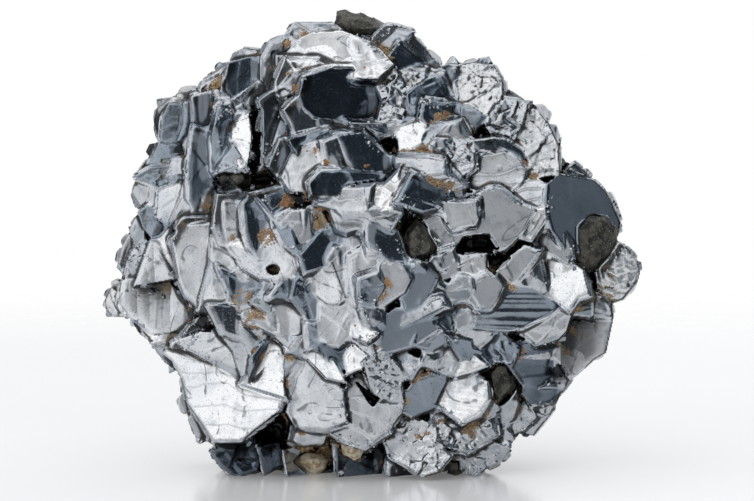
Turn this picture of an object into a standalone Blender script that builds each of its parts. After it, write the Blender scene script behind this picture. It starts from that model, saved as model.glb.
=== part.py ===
"""A standing cluster of intergrown metallic magnetite crystals, about 107 mm wide, 92 mm
high and 59 mm thick.

The metallic crystals grew into each other, so they are one solid. Dull olive-brown crystals and two cream
quartz crystals of other minerals sit in sockets of that solid, and each of them is an object of its own.

Every crystal is a faceted block: a flat face, a sloping flank round it and side walls that run back into
the cluster. A block is drawn on a sheet, in millimetres: u to the right, v upwards, and w out of the sheet.
The display sheet leans back by DISPLAY_LEAN_DEG. The back and the edges carry blocks on sheets of their own.
"""

import math
import random

import bmesh
import bpy
import numpy as np
from mathutils import Matrix, Vector

MM = 0.001

# Driving dimensions, in millimetres unless the name says degrees.
DISPLAY_LEAN_DEG = 6.0  # how far the display sheet leans back from upright
FLOOR_V = 2.0  # height on the sheet of the surface that the cluster stands on, where w is 0
DOME_CENTRE = (0.0, 46.0)  # middle of the cluster on the display sheet
DOME_RISE = 27.0  # how far the display side swells out in its middle
DOME_BACK = 25.0  # how far the back swells out
CORE_BELOW = 4.4  # how far the grown-together inside lies below the crystals' faces
CORE_ROUGHNESS = 0.05  # share of its size by which the core's facets go in and out
ROUNDING = 0.28  # share of the dome's slope by which faces near the outline turn outwards
BLOCK_DEPTH = 13.0  # from a crystal's face to its hidden root
RIM_SHALLOWER = 5.0  # how much shorter a block on the outline is
BLOCK_SPREAD = 1.4  # how much wider a root is than its face, in the middle of the display side
GROWN = 0.45  # how far every face reaches over its drawn outline, so that narrow gaps close into ridges
FLANK = (0.75, 0.95)  # width and depth of the sloping flank below a face, in the middle of the display side
RISE_MIDDLE = 3.4  # the usual rise of a crystal's face above the dome
RISE_SPREAD = 1.5  # how much further than listed a face stands above or below that
MEETING = 1.3  # corners of two faces this close meet in one point where they can
MEETING_WEIGHT = 1.1  # how much a meeting counts against a face's own height
SOCKET_GAP = 0.3  # clearance between a dull or cream crystal and its socket
LUMP = [(-2.3, 0.0), (-0.9, -0.8), (0.0, -2.4), (-0.6, -8.0)]  # rings of a worn crystal: widening, height
FLAT_WITHIN_DEG = 0.2  # faces that differ by less are one face
MOST_TRIANGLES = 8350  # the shortest slivers at the blocks' crossings are merged until so many are left
UNEVENNESS = 0.03  # how far a display crystal's corners stray from the drawn ones
SEED = 11

# The cluster's outline on the display sheet, (u, v), from the foot anticlockwise.
OUTLINE = [
    (0, -1), (17, 0), (27, 6), (36, 13.5), (41, 20.5), (47, 28), (48.5, 34), (53, 40), (50, 47), (49, 51),
    (44, 59), (37, 66), (34, 73), (25, 81), (11, 84), (3, 91), (-7, 94), (-17, 89), (-28, 84), (-36, 77),
    (-43, 73), (-47, 60), (-47.5, 53), (-50.5, 43), (-53, 35.5), (-44, 28), (-37, 21), (-36, 11), (-33, 4),
    (-20, -1),
]

# How far a face turns to the right and upwards, in degrees. The crystals share a few growth directions.
FACING = (0.0, 0.0)
PALE = (-6.0, 6.0)
BRIGHT = (-12.0, 17.0)
HIGH = (-4.0, 32.0)
LEFT = (-22.0, 3.0)
DIM = (14.0, -5.0)
SLATE = (22.0, 0.0)
DARK = (30.0, -3.0)
NIGHT = (36.0, 3.0)

# name, rise above the dome, turn of the face, corners (u, v)
CROWN = [
    ("crown_back", 1.0, DIM, [(-17, 88.3), (-15.3, 90.6), (-8, 90.7), (-6, 89.5), (-9, 86), (-15, 86)]),
    ("crown_shoulder", 5.0, HIGH, [
        (-16.8, 83.3), (-14.5, 87.4), (-12, 88.6), (-6, 89), (0.3, 86.6), (3.8, 82.5), (1, 80), (-11, 80.5)]),
    ("crown_oval", 7.5, DARK, [
        (-13.9, 76.5), (-13.2, 79.5), (-9, 81), (-4, 81.2), (0, 79.8), (2.2, 77), (2, 73), (-0.5, 70.8),
        (-4, 70.5), (-7, 71.8), (-11, 72.2), (-13, 74)]),
    ("crown_rough_side", 5.5, (6, 8), [
        (0.5, 80.2), (3.5, 83), (6.3, 78), (6.3, 73.5), (5.3, 71), (3, 70), (1.5, 71.5), (2.6, 75.5)]),
    ("crown_ledge", 6.8, BRIGHT, [(-17, 83.2), (-11, 83), (-10.2, 81.3), (-11.6, 80.2), (-15.4, 80.2)]),
    ("crown_left_light", 5.0, PALE, [(-15.5, 80.3), (-11.4, 80), (-12.5, 78.8), (-14, 77.8), (-17.3, 78.2)]),
    ("crown_left_flank", 3.4, DIM, [
        (-18.7, 79), (-17.3, 82.8), (-15.5, 80), (-14.2, 77), (-14.3, 74.5), (-17, 74.8), (-18.9, 76.6)]),
    ("crown_under", 1.5, DARK, [
        (-17, 73.2), (-14.2, 76), (-12.8, 73), (-10.5, 71.8), (-3, 70), (-6, 68.5), (-12, 69.3), (-15, 69)]),
    ("crown_chin", 3.0, DIM, [(-4, 70.6), (2, 70.2), (4, 68.8), (1, 68), (-2, 68.3)]),
    ("crown_foot", 3.5, PALE, [
        (-19, 67.3), (-17.9, 70.5), (-17, 72.4), (-15, 72.4), (-15.3, 70.8), (-16.4, 68.6)]),
    ("crown_dark_block", 3.2, DARK, [(-18.7, 81.7), (-18.7, 84), (-16.7, 84), (-16.9, 81.5)]),
    ("crown_sliver", 1.4, LEFT, [(-18.3, 84.2), (-17, 88), (-15.6, 86.8), (-15.4, 84.2)]),
]

UPPER_LEFT = [
    ("ridge_back", 0.6, DIM, [
        (-21.9, 79.8), (-21.8, 84), (-20.3, 86.8), (-17, 88.2), (-18, 84), (-18.7, 79.7), (-20, 78.3)]),
    ("dark_block_top", 0.0, DIM, [(-28.6, 82.8), (-25.8, 85.4), (-22.6, 85), (-21.8, 83.4), (-25, 83.2)]),
    ("dark_block", 4.5, DARK, [
        (-29, 79.3), (-28.4, 82.6), (-25, 83.6), (-22.6, 83.7), (-21.8, 80.8), (-21.2, 78), (-22.3, 75.8),
        (-25.5, 75.1), (-27.6, 76), (-29, 77.8)]),
    ("ochre_shoulder", -1.0, DIM, [
        (-34.4, 77), (-33.5, 79.2), (-31.5, 80.4), (-29.3, 82), (-28.6, 79), (-29.8, 76.8), (-31.8, 76)]),
    ("tower_window", 3.0, SLATE, [
        (-41.7, 68.2), (-41.5, 72), (-40.4, 74.4), (-37.5, 74.7), (-37, 71.8), (-38.2, 67.2), (-40.3, 66.8)]),
    ("tower_side", 1.0, LEFT, [
        (-43.2, 71.5), (-42.7, 73.8), (-40.3, 75.6), (-40.8, 71), (-41.3, 68), (-42.3, 68)]),
    ("tower_cap", 1.0, HIGH, [(-40.6, 74.4), (-38.8, 76.6), (-35.2, 76.9), (-35.8, 74.6)]),
    ("tower_ribs", 1.8, FACING, [
        (-37.2, 74.6), (-35.4, 75), (-35, 71), (-37.6, 65), (-39, 66.8), (-37.6, 70.5)]),
    ("pillar_upper", 2.6, DIM, [(-35.4, 75.8), (-31.3, 76.4), (-30.9, 71.5), (-32.6, 67.5), (-35, 69.5)]),
    ("pillar_long", 1.4, SLATE, [
        (-35.2, 69.5), (-32.3, 68.5), (-31, 61), (-30.9, 53.5), (-33, 51.6), (-36, 56), (-36.3, 62)]),
    ("pillar_foot", 3.4, PALE, [(-36.2, 62), (-34.8, 57), (-32.2, 51.6), (-39, 51.9), (-37.4, 55.5)]),
    ("shoulder_blue", 1.0, FACING, [
        (-44, 63.2), (-42.6, 66.4), (-38.7, 66.5), (-37, 65.2), (-37, 63.3)]),
    ("shoulder_ledge", 2.0, BRIGHT, [(-43.2, 63.2), (-37.1, 63.5), (-37, 61.2), (-44.5, 61)]),
    ("shoulder_mid", 2.4, DIM, [
        (-46.6, 60.2), (-44, 61.7), (-37.2, 61.9), (-36.4, 59.3), (-41.8, 57.8), (-44, 59.2)]),
    ("shoulder_left", 2.0, LEFT, [
        (-47.6, 57.3), (-46.5, 60), (-43, 59.6), (-42.2, 57.5), (-42.4, 52.5), (-45.6, 54)]),
    ("shoulder_right", 3.4, FACING, [
        (-42, 57.3), (-38, 58.8), (-36.4, 59.2), (-36.6, 57), (-39.2, 52), (-41, 51.8), (-42.5, 52.6)]),
    ("shoulder_rough", 0.8, LEFT, [(-46.9, 60.2), (-44.5, 63.3), (-42.5, 63.2), (-42, 61), (-44.5, 60)]),
    ("column_left", 1.0, DARK, [
        (-30.4, 74.3), (-28.7, 74.2), (-27.7, 70.3), (-27.4, 66), (-28.8, 61.8), (-31.3, 61.8), (-31.6, 68)]),
    ("column_cap", 2.2, SLATE, [
        (-30.4, 76.3), (-27.6, 75.5), (-24.8, 73.5), (-24, 71), (-27.8, 70), (-29, 73)]),
    ("column_bright", 4.0, BRIGHT, [
        (-27.8, 70.4), (-24.8, 72.1), (-23.3, 69), (-23.8, 65), (-26, 62.4), (-27.6, 65.3)]),
    ("column_foot", 4.8, PALE, [(-27.5, 65.4), (-25.2, 62.6), (-24.9, 61.4), (-30, 61.4)]),
    ("narrow_column", 0.4, DARK, [
        (-21.6, 74.8), (-19.6, 76.3), (-18.3, 73), (-18.9, 69.5), (-19.3, 66), (-20, 61.8), (-21.9, 61.6),
        (-22, 65), (-21, 68.5)]),
]

UPPER_RIGHT = [
    ("upper_slab", 2.4, PALE, [
        (0.4, 88), (2.6, 90.1), (7.6, 88.9), (5.2, 86.4), (4, 84.4), (2.4, 84.8), (0.3, 86.4)]),
    ("ridge_slab", 1.4, DIM, [(6, 86.4), (8, 88.1), (10.5, 85.5), (13.9, 80.7), (13.2, 79.4), (10.4, 82.6)]),
    ("dark_wedge_top", 2.5, DARK, [
        (4, 84.4), (5.4, 86.5), (10.2, 83), (10, 81), (5, 81.3), (3.8, 83.4)]),
    ("white_ledge", 3.8, BRIGHT, [(5, 81.7), (10.2, 81.5), (10, 80.4), (6, 80.2)]),
    ("under_ledge", 3.0, DIM, [(5.6, 80.8), (9.9, 80.6), (9, 77.5), (6.6, 76.4), (6.1, 79)]),
    ("under_ledge_right", 2.0, SLATE, [(9.6, 80.8), (13.8, 80.8), (12.6, 79), (9.2, 77.5)]),
    ("long_slab", 1.4, SLATE, [
        (5.7, 73), (6, 75.6), (9, 78), (13.8, 80), (15.6, 76), (17.6, 73.4), (11, 74), (10.3, 72.4),
        (9, 71.1), (6, 70)]),
    ("grey_facet", 1.8, DIM, [
        (13.6, 80.4), (15, 82.1), (17, 82.2), (17.2, 79), (17.8, 76.5), (15.6, 75), (13.6, 77.5)]),
    ("white_cleavage", 4.0, BRIGHT, [
        (17.2, 79.4), (18, 82), (20.5, 82.5), (24, 82.2), (25.6, 79.8), (25.5, 76.4), (24.5, 74.4),
        (22, 72.3), (20, 73.5), (18, 76)]),
    ("white_back_rim", 1.8, DARK, [(16.2, 82), (20.6, 82.7), (20, 80), (17.2, 79.5)]),
    ("below_white", 2.2, FACING, [
        (18.2, 73.6), (20, 73.8), (22.4, 72), (21, 70.4), (19.5, 68.2), (18, 69.8)]),
    ("dark_ledge", 2.8, DARK, [(10.5, 74.3), (18.2, 73.6), (18.4, 71), (11, 70.9), (10.2, 72)]),
    ("bright_wedge", 3.4, BRIGHT, [
        (5.8, 69.6), (9, 71), (14, 70.6), (12, 68.5), (10, 67), (8.5, 66.1), (6, 65.7)]),
    ("glitter_lump", 4.8, (3, 4), [
        (12, 70), (15, 70.6), (17.5, 71), (18.6, 69), (20.4, 65.5), (20, 62), (17.5, 60.2), (14, 60.4),
        (12.3, 64), (10.4, 67.2)]),
    ("stepped_block", 4.0, PALE, [(5, 63.5), (10.5, 63.4), (13.5, 62.8), (14, 60.7), (9, 60.2), (5.5, 60.2)]),
    ("ochre_wedge", 3.2, FACING, [(9.8, 60.3), (15.5, 60.6), (17.2, 58.7), (13.4, 56.7)]),
    ("small_chip", 2.0, BRIGHT, [(6.2, 59.4), (8.9, 59.8), (7.2, 57.8)]),
    ("white_dome", 4.5, BRIGHT, [
        (28, 70), (30.4, 74.4), (32, 74.1), (34.9, 70.6), (36.7, 66.5), (36.9, 61), (33, 60.2),
        (30.8, 62.5), (29, 66)]),
    ("dome_left", 3.4, FACING, [
        (22.8, 70.8), (24.5, 74.1), (26.5, 75.1), (30.6, 74.6), (29.4, 70), (27.5, 66.6), (24.1, 68.7)]),
    ("dome_band", 2.8, DIM, [
        (20.5, 67), (24, 67.4), (26.4, 66.8), (29.4, 65), (31.5, 61.5), (32.4, 60), (30, 60.2), (28, 62.2),
        (25, 65.4), (21, 65.8)]),
    ("pale_oval", 4.2, FACING, [
        (20.3, 65), (22, 66.1), (25, 65.9), (28.5, 63.6), (30.3, 61.4), (29.8, 59.9), (28, 57.7),
        (26.4, 59.3), (20, 58), (17.4, 58.4), (19.4, 61)]),
]

CENTRE = [
    ("mid_left_light", 5.0, PALE, [
        (-17.4, 60), (-15, 65), (-12, 66.4), (-9, 66.2), (-7.3, 62.8), (-8.3, 61), (-11.6, 58.4),
        (-12.6, 57.6), (-16, 57.7)]),
    ("mid_left_bevel", 2.8, DIM, [
        (-20, 62.4), (-18, 67), (-15.8, 67.2), (-14.5, 65), (-17.4, 60), (-18.2, 60.3)]),
    ("mid_left_glint", 4.3, BRIGHT, [(-19.8, 62.3), (-17.4, 64.3), (-16.8, 62.7), (-18.1, 60.2)]),
    ("mid_top_slab", 3.4, SLATE, [(-16, 67.3), (-10, 68.7), (-7, 68.5), (-8.6, 66), (-14.5, 64.8)]),
    ("mid_window", 6.4, DARK, [(-9.3, 66.6), (-5.8, 67.6), (-4.4, 64.5), (-2.6, 60.8), (-8.2, 61)]),
    ("mid_right_slope", 4.6, SLATE, [
        (-6.2, 67.9), (-2, 68.5), (2, 64.6), (4.8, 61), (1.5, 60.4), (-1.8, 60.4), (-4.5, 64)]),
    ("mid_band", 6.6, DARK, [
        (-11.9, 58.6), (-10, 60.5), (2.6, 60.4), (3, 58.8), (1, 57.2), (-7, 56.8), (-11.6, 56.9)]),
    ("mid_lower_light", 6.2, PALE, [
        (-11.6, 57.2), (-6, 57.3), (-0.5, 57.7), (-1.2, 53.2), (-5, 53.1), (-6.6, 54.7), (-11, 55.4)]),
    ("mid_white", 7.4, BRIGHT, [
        (0.2, 57.5), (3, 58), (4.9, 60.2), (5, 55.6), (3, 53.5), (-1, 53.3), (-0.4, 55.5)]),
    ("mid_chin_left", 4.2, FACING, [(-7.2, 53.8), (-6.2, 50.4), (-5, 50), (-1, 51.4), (0, 53.4), (-3, 53.6)]),
    ("mid_chin_right", 4.4, DIM, [(-0.4, 53), (0.3, 52.2), (3.6, 50.4), (6.9, 55.4), (5, 56.4), (3, 53.6)]),
    ("west_block_frame", 2.4, DARK, [
        (-29.8, 55.7), (-24.8, 56), (-23.8, 49), (-24.8, 47.4), (-29.5, 47.4), (-30.3, 50)]),
    ("west_block", 3.6, DIM, [
        (-28.9, 54.8), (-25, 55), (-24.6, 51.5), (-24.4, 48.6), (-28.3, 48.1), (-28.8, 50.5)]),
    ("west_glint", 4.0, BRIGHT, [(-28.4, 47.8), (-23.2, 48.6), (-23.7, 46.4), (-26, 45.9), (-27.5, 46.1)]),
    ("west_dark", 4.6, NIGHT, [
        (-25, 54.6), (-23.2, 56.5), (-21, 54.4), (-19.3, 50.5), (-20.2, 48.4), (-22.6, 44.4),
        (-23.5, 46.2), (-24.6, 49.8)]),
    ("west_face", 4.8, PALE, [
        (-25, 45.3), (-22.6, 44.4), (-20, 48.6), (-19.5, 51.6), (-15.5, 45.8), (-12.8, 45.9), (-16.6, 41),
        (-19, 40.2), (-22, 40.6), (-25.5, 42.6), (-27.5, 45.8)]),
    ("west_right", 5.2, FACING, [
        (-18.7, 52.2), (-16.5, 53.3), (-12.7, 53.1), (-12.4, 49.5), (-12.6, 45.8), (-15.2, 45.4)]),
    ("west_blade", 6.6, BRIGHT, [(-19.7, 52.1), (-17.6, 52.6), (-16.2, 48.5), (-15, 45.2), (-16.8, 47)]),
    ("west_top", 3.4, SLATE, [
        (-22.6, 56.4), (-19, 57.4), (-13.5, 55.4), (-11.3, 53.2), (-16.5, 52.9), (-19, 52), (-21.2, 54.6)]),
    ("west_rim", 2.8, DARK, [(-12.9, 53.2), (-11.5, 53.4), (-9.7, 50.4), (-9.4, 49), (-12.8, 45.6)]),
    ("cavity_slope", 0.0, NIGHT, [
        (-13.4, 44.5), (-9.2, 49.5), (-4.8, 49.9), (-4.5, 46), (-8, 43.2), (-12.8, 41.8)]),
    ("cavity_light", 3.0, PALE, [
        (-13, 41.9), (-8.5, 43.6), (-5.8, 36.4), (-6.6, 35.4), (-8.6, 35.6), (-11, 37.4), (-12.8, 39.6)]),
    ("cavity_slot", 0.8, SLATE, [(-8.4, 43.6), (-7, 45.8), (-4.8, 45.8), (-4.2, 40), (-5.6, 37.4)]),
    ("cavity_chip", 2.4, PALE, [(-4.8, 47.7), (-1.3, 47.3), (-1, 45.8), (-4.2, 44.5)]),
    ("west_small_light", 2.4, PALE, [(-16.6, 41.1), (-13, 40.8), (-12.7, 39.8), (-14, 38.7), (-15.5, 38.9)]),
    ("heart_upper", 4.2, PALE, [
        (-4.3, 44), (0.6, 46.5), (3, 43.3), (5.3, 42), (6.5, 40), (5.6, 37.8), (2, 35.2), (-3.6, 35.2),
        (-4.4, 38)]),
    ("heart_lower", 4.6, PALE, [
        (-9.9, 34.9), (-4.2, 35.8), (1.8, 35.6), (1.8, 31), (-0.8, 29.4), (-4, 29.4), (-6.6, 27.1),
        (-9.3, 27.5), (-10, 30)]),
    ("heart_hollow", 4.9, DIM, [(-2, 39.4), (0.8, 40.4), (2.2, 38.4), (1.6, 35.8), (-0.2, 35), (-2, 36)]),
    ("heart_shadow", 5.1, SLATE, [(-1.4, 33.4), (0.6, 33.2), (1.7, 31.2), (1.5, 28.2), (-0.8, 31)]),
    ("heart_right", 4.4, SLATE, [
        (0.3, 50.5), (3.8, 50.1), (5.2, 47.5), (6.6, 43.4), (6.4, 41.4), (4, 43.3), (1.2, 46.2),
        (0.2, 47.6)]),
    ("heart_top", 3.4, FACING, [(-1.2, 50.9), (0.6, 50.7), (0.5, 47.2), (-0.3, 45.9)]),
]

RIGHT = [
    ("east_top_dark", 0.8, NIGHT, [
        (5.8, 55.2), (8.2, 59.6), (13, 57.4), (20, 58.2), (26.4, 59.3), (24.4, 57), (19, 55), (14, 54.4),
        (10, 53.6)]),
    ("east_slab", 5.2, FACING, [
        (10.2, 53.2), (15, 54.7), (20, 55.3), (23.5, 57), (25.2, 56.9), (29.5, 53.7), (31.2, 53),
        (29.6, 49.6), (27.3, 47.2), (25.6, 45.7), (23.6, 49), (21.5, 49.2), (18, 48.6), (15.5, 45.6),
        (13.4, 45.3), (12.8, 48), (10.4, 51)]),
    ("east_slab_step", 6.1, FACING, [
        (14.4, 54.4), (20.3, 54.8), (20.6, 52), (20, 50.8), (16.3, 50.4), (15.3, 52)]),
    ("bright_upper", 3.4, PALE, [(27.7, 56), (30.6, 58.7), (33, 58.9), (35.1, 58), (34.9, 53), (31, 52.6)]),
    ("bright_lower", 3.8, BRIGHT, [(30.9, 53), (34.8, 53.5), (33.2, 50.4), (31.4, 48), (29.5, 48.4), (30, 50)]),
    ("night_cap", 0.6, DIM, [(36.8, 59.8), (40.3, 62.6), (42, 61.5), (44.4, 58.8), (40, 59.6)]),
    ("night_face", 2.4, NIGHT, [
        (35.1, 58.4), (37.4, 60.2), (44.2, 59.2), (46.4, 57), (49.4, 51), (49, 49), (45, 45.6),
        (38.6, 45.6), (36, 49.5), (34.8, 54)]),
    ("slate_round", 3.6, FACING, [
        (30.9, 48), (34.5, 50), (37.6, 48.9), (39, 46.4), (39.3, 44.6), (38.9, 43.2), (36.3, 45), (32.5, 46.2)]),
    ("east_knob", 0.6, DIM, [
        (48.2, 46.9), (50.6, 46), (52.6, 43.4), (53.1, 41), (52.8, 39.8), (50, 36), (47.8, 35.3),
        (46, 38), (45.3, 43)]),
    ("white_east", 5.4, BRIGHT, [
        (32.1, 45.1), (35, 45.7), (38, 43.4), (41.6, 41), (42.6, 36.9), (40.6, 36.4), (39.2, 34.4),
        (34.2, 38)]),
    ("white_east_side", 4.4, SLATE, [(32.4, 45.2), (34.5, 38), (30, 38.8), (28.7, 41), (31, 44.3)]),
    ("hook_block", 5.2, PALE, [
        (17.2, 44), (21.8, 44.4), (22, 41.4), (24.2, 39.4), (25.2, 38.2), (24.3, 36.4), (23, 34.8),
        (21, 34.7), (20, 37.2), (17.9, 38), (18.8, 40), (17.4, 42.4)]),
    ("hook_arm", 4.8, FACING, [
        (23.8, 39.2), (28, 43.7), (30.4, 45.6), (32.3, 45), (28.4, 39.9), (24.6, 37)]),
    ("hook_bead", 4.2, PALE, [(15.3, 37.3), (17, 39.9), (18.8, 39.4), (19, 38), (18.2, 36.5), (16, 36.3)]),
    ("small_blue", 1.2, FACING, [(12.4, 44), (15.6, 45), (16.2, 42.5), (14.6, 40.9), (12.2, 41.2)]),
    ("blue_wedge", 3.4, DIM, [
        (21, 30.5), (21.8, 33), (24.6, 35.8), (28, 39.1), (30.2, 38.6), (36.4, 34.4), (35, 33.2),
        (29, 30.4), (25, 30)]),
    ("striated_blade", 4.2, PALE, [
        (27.6, 30.2), (31, 31.6), (36.3, 34), (39.1, 34.2), (38, 30), (36.5, 28.8), (32.6, 27.5), (31, 29)]),
    ("east_low_slab", 1.8, PALE, [
        (38.7, 29.3), (40, 30.6), (42.6, 32.2), (47.7, 32), (47, 29), (46.3, 25.4), (44, 24), (40, 20.5),
        (39, 21.8), (37.3, 25)]),
    ("east_small_block", 2.4, FACING, [(43, 36.9), (45, 36.7), (47.5, 34.6), (47.7, 32.8), (43, 33)]),
    ("east_striped", 1.8, DARK, [(39.8, 36.6), (43.2, 36.8), (43.2, 32.8), (39.8, 33.2)]),
    ("shell_back", 0.4, NIGHT, [(27.4, 26.8), (33, 26.6), (37.2, 27.2), (36.5, 24.2), (31, 24.4), (27.8, 24.6)]),
    ("shell_upper", 3.2, NIGHT, [
        (27.3, 22.8), (30, 24.1), (34, 24.5), (35.8, 23.6), (37.7, 21), (37, 18.3), (33, 18.3), (30, 19.3)]),
    ("shell_lower", 5.0, NIGHT, [(30.3, 17), (31, 19.7), (35, 19.4), (36.9, 18), (35.6, 15.8), (32, 15.2)]),
    ("rim_right", 0.8, DIM, [
        (36.4, 24.6), (38.9, 21.4), (38, 18.4), (36, 14.4), (34.6, 15.6), (36.6, 18), (37, 21)]),
    ("rim_right_low", 0.8, DIM, [
        (30.6, 15.4), (35.4, 16.2), (36.2, 14.2), (33.4, 10.5), (32.2, 9), (29, 10.2), (28, 8.2),
        (27.3, 10), (29.5, 13)]),
    ("pale_pair_upper", 2.4, FACING, [(25, 13.5), (26.5, 16.7), (28.6, 18.1), (29, 15), (28, 12.3), (26, 11)]),
    ("pale_pair_lower", 3.2, PALE, [(26.1, 11.2), (28, 13.2), (31, 13.4), (31.9, 12), (30, 10.4), (27.7, 9.9)]),
    ("chip_light", 4.4, PALE, [(23.1, 27.8), (25.5, 28.8), (28.2, 25.8), (27.3, 23.8)]),
    ("middle_light", 4.4, PALE, [
        (6.1, 38), (9.2, 42.5), (10.6, 42.2), (12.2, 40), (11.3, 38), (9.6, 35), (7, 34.3)]),
    ("middle_blue", 3.2, SLATE, [
        (9.8, 42.7), (14.5, 38), (15.5, 36.2), (14, 34.3), (10, 35.4), (11.2, 38.3), (12, 40)]),
    ("fold_bright", 4.6, BRIGHT, [(4.8, 31.8), (7, 33.6), (13.4, 35.8), (14.1, 34.6), (9, 32.4), (6, 31)]),
    ("hollow_upper", 1.4, SLATE, [
        (9.6, 30), (13, 34.4), (16.8, 34.4), (17.4, 31), (15, 27.8), (12, 26.2), (8.4, 27.2)]),
    ("hollow_middle", 2.2, DARK, [(10.2, 23.2), (11, 26.4), (15, 28.4), (16.4, 25), (13.4, 22.2)]),
    ("hollow_lower", 3.2, DIM, [(12.8, 22.6), (15.6, 25.8), (18, 25.2), (17.4, 21.1), (15, 21.4)]),
    ("small_white_triangle", 4.6, BRIGHT, [(17.3, 21.1), (19, 25.3), (21.6, 22.8)]),
    ("small_light_wedge", 3.4, PALE, [(5.8, 20.9), (5.9, 24.8), (9.5, 23.2), (7.6, 20.5)]),
    ("swirl", 2.4, DIM, [
        (16.8, 32), (19, 33.4), (21, 30.6), (23.2, 28), (21.5, 26.6), (19.6, 26.8), (17.2, 28.4)]),
    ("dark_wedge", 1.6, DARK, [(15.3, 28.4), (21, 27.2), (27.4, 23.9), (24, 23), (18, 24.4)]),
    ("crinkle", 3.4, (2, 4), [
        (2, 30.8), (5, 33.2), (9, 33), (12.4, 30), (8, 27.1), (3, 25.8), (1.4, 28)]),
]

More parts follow.
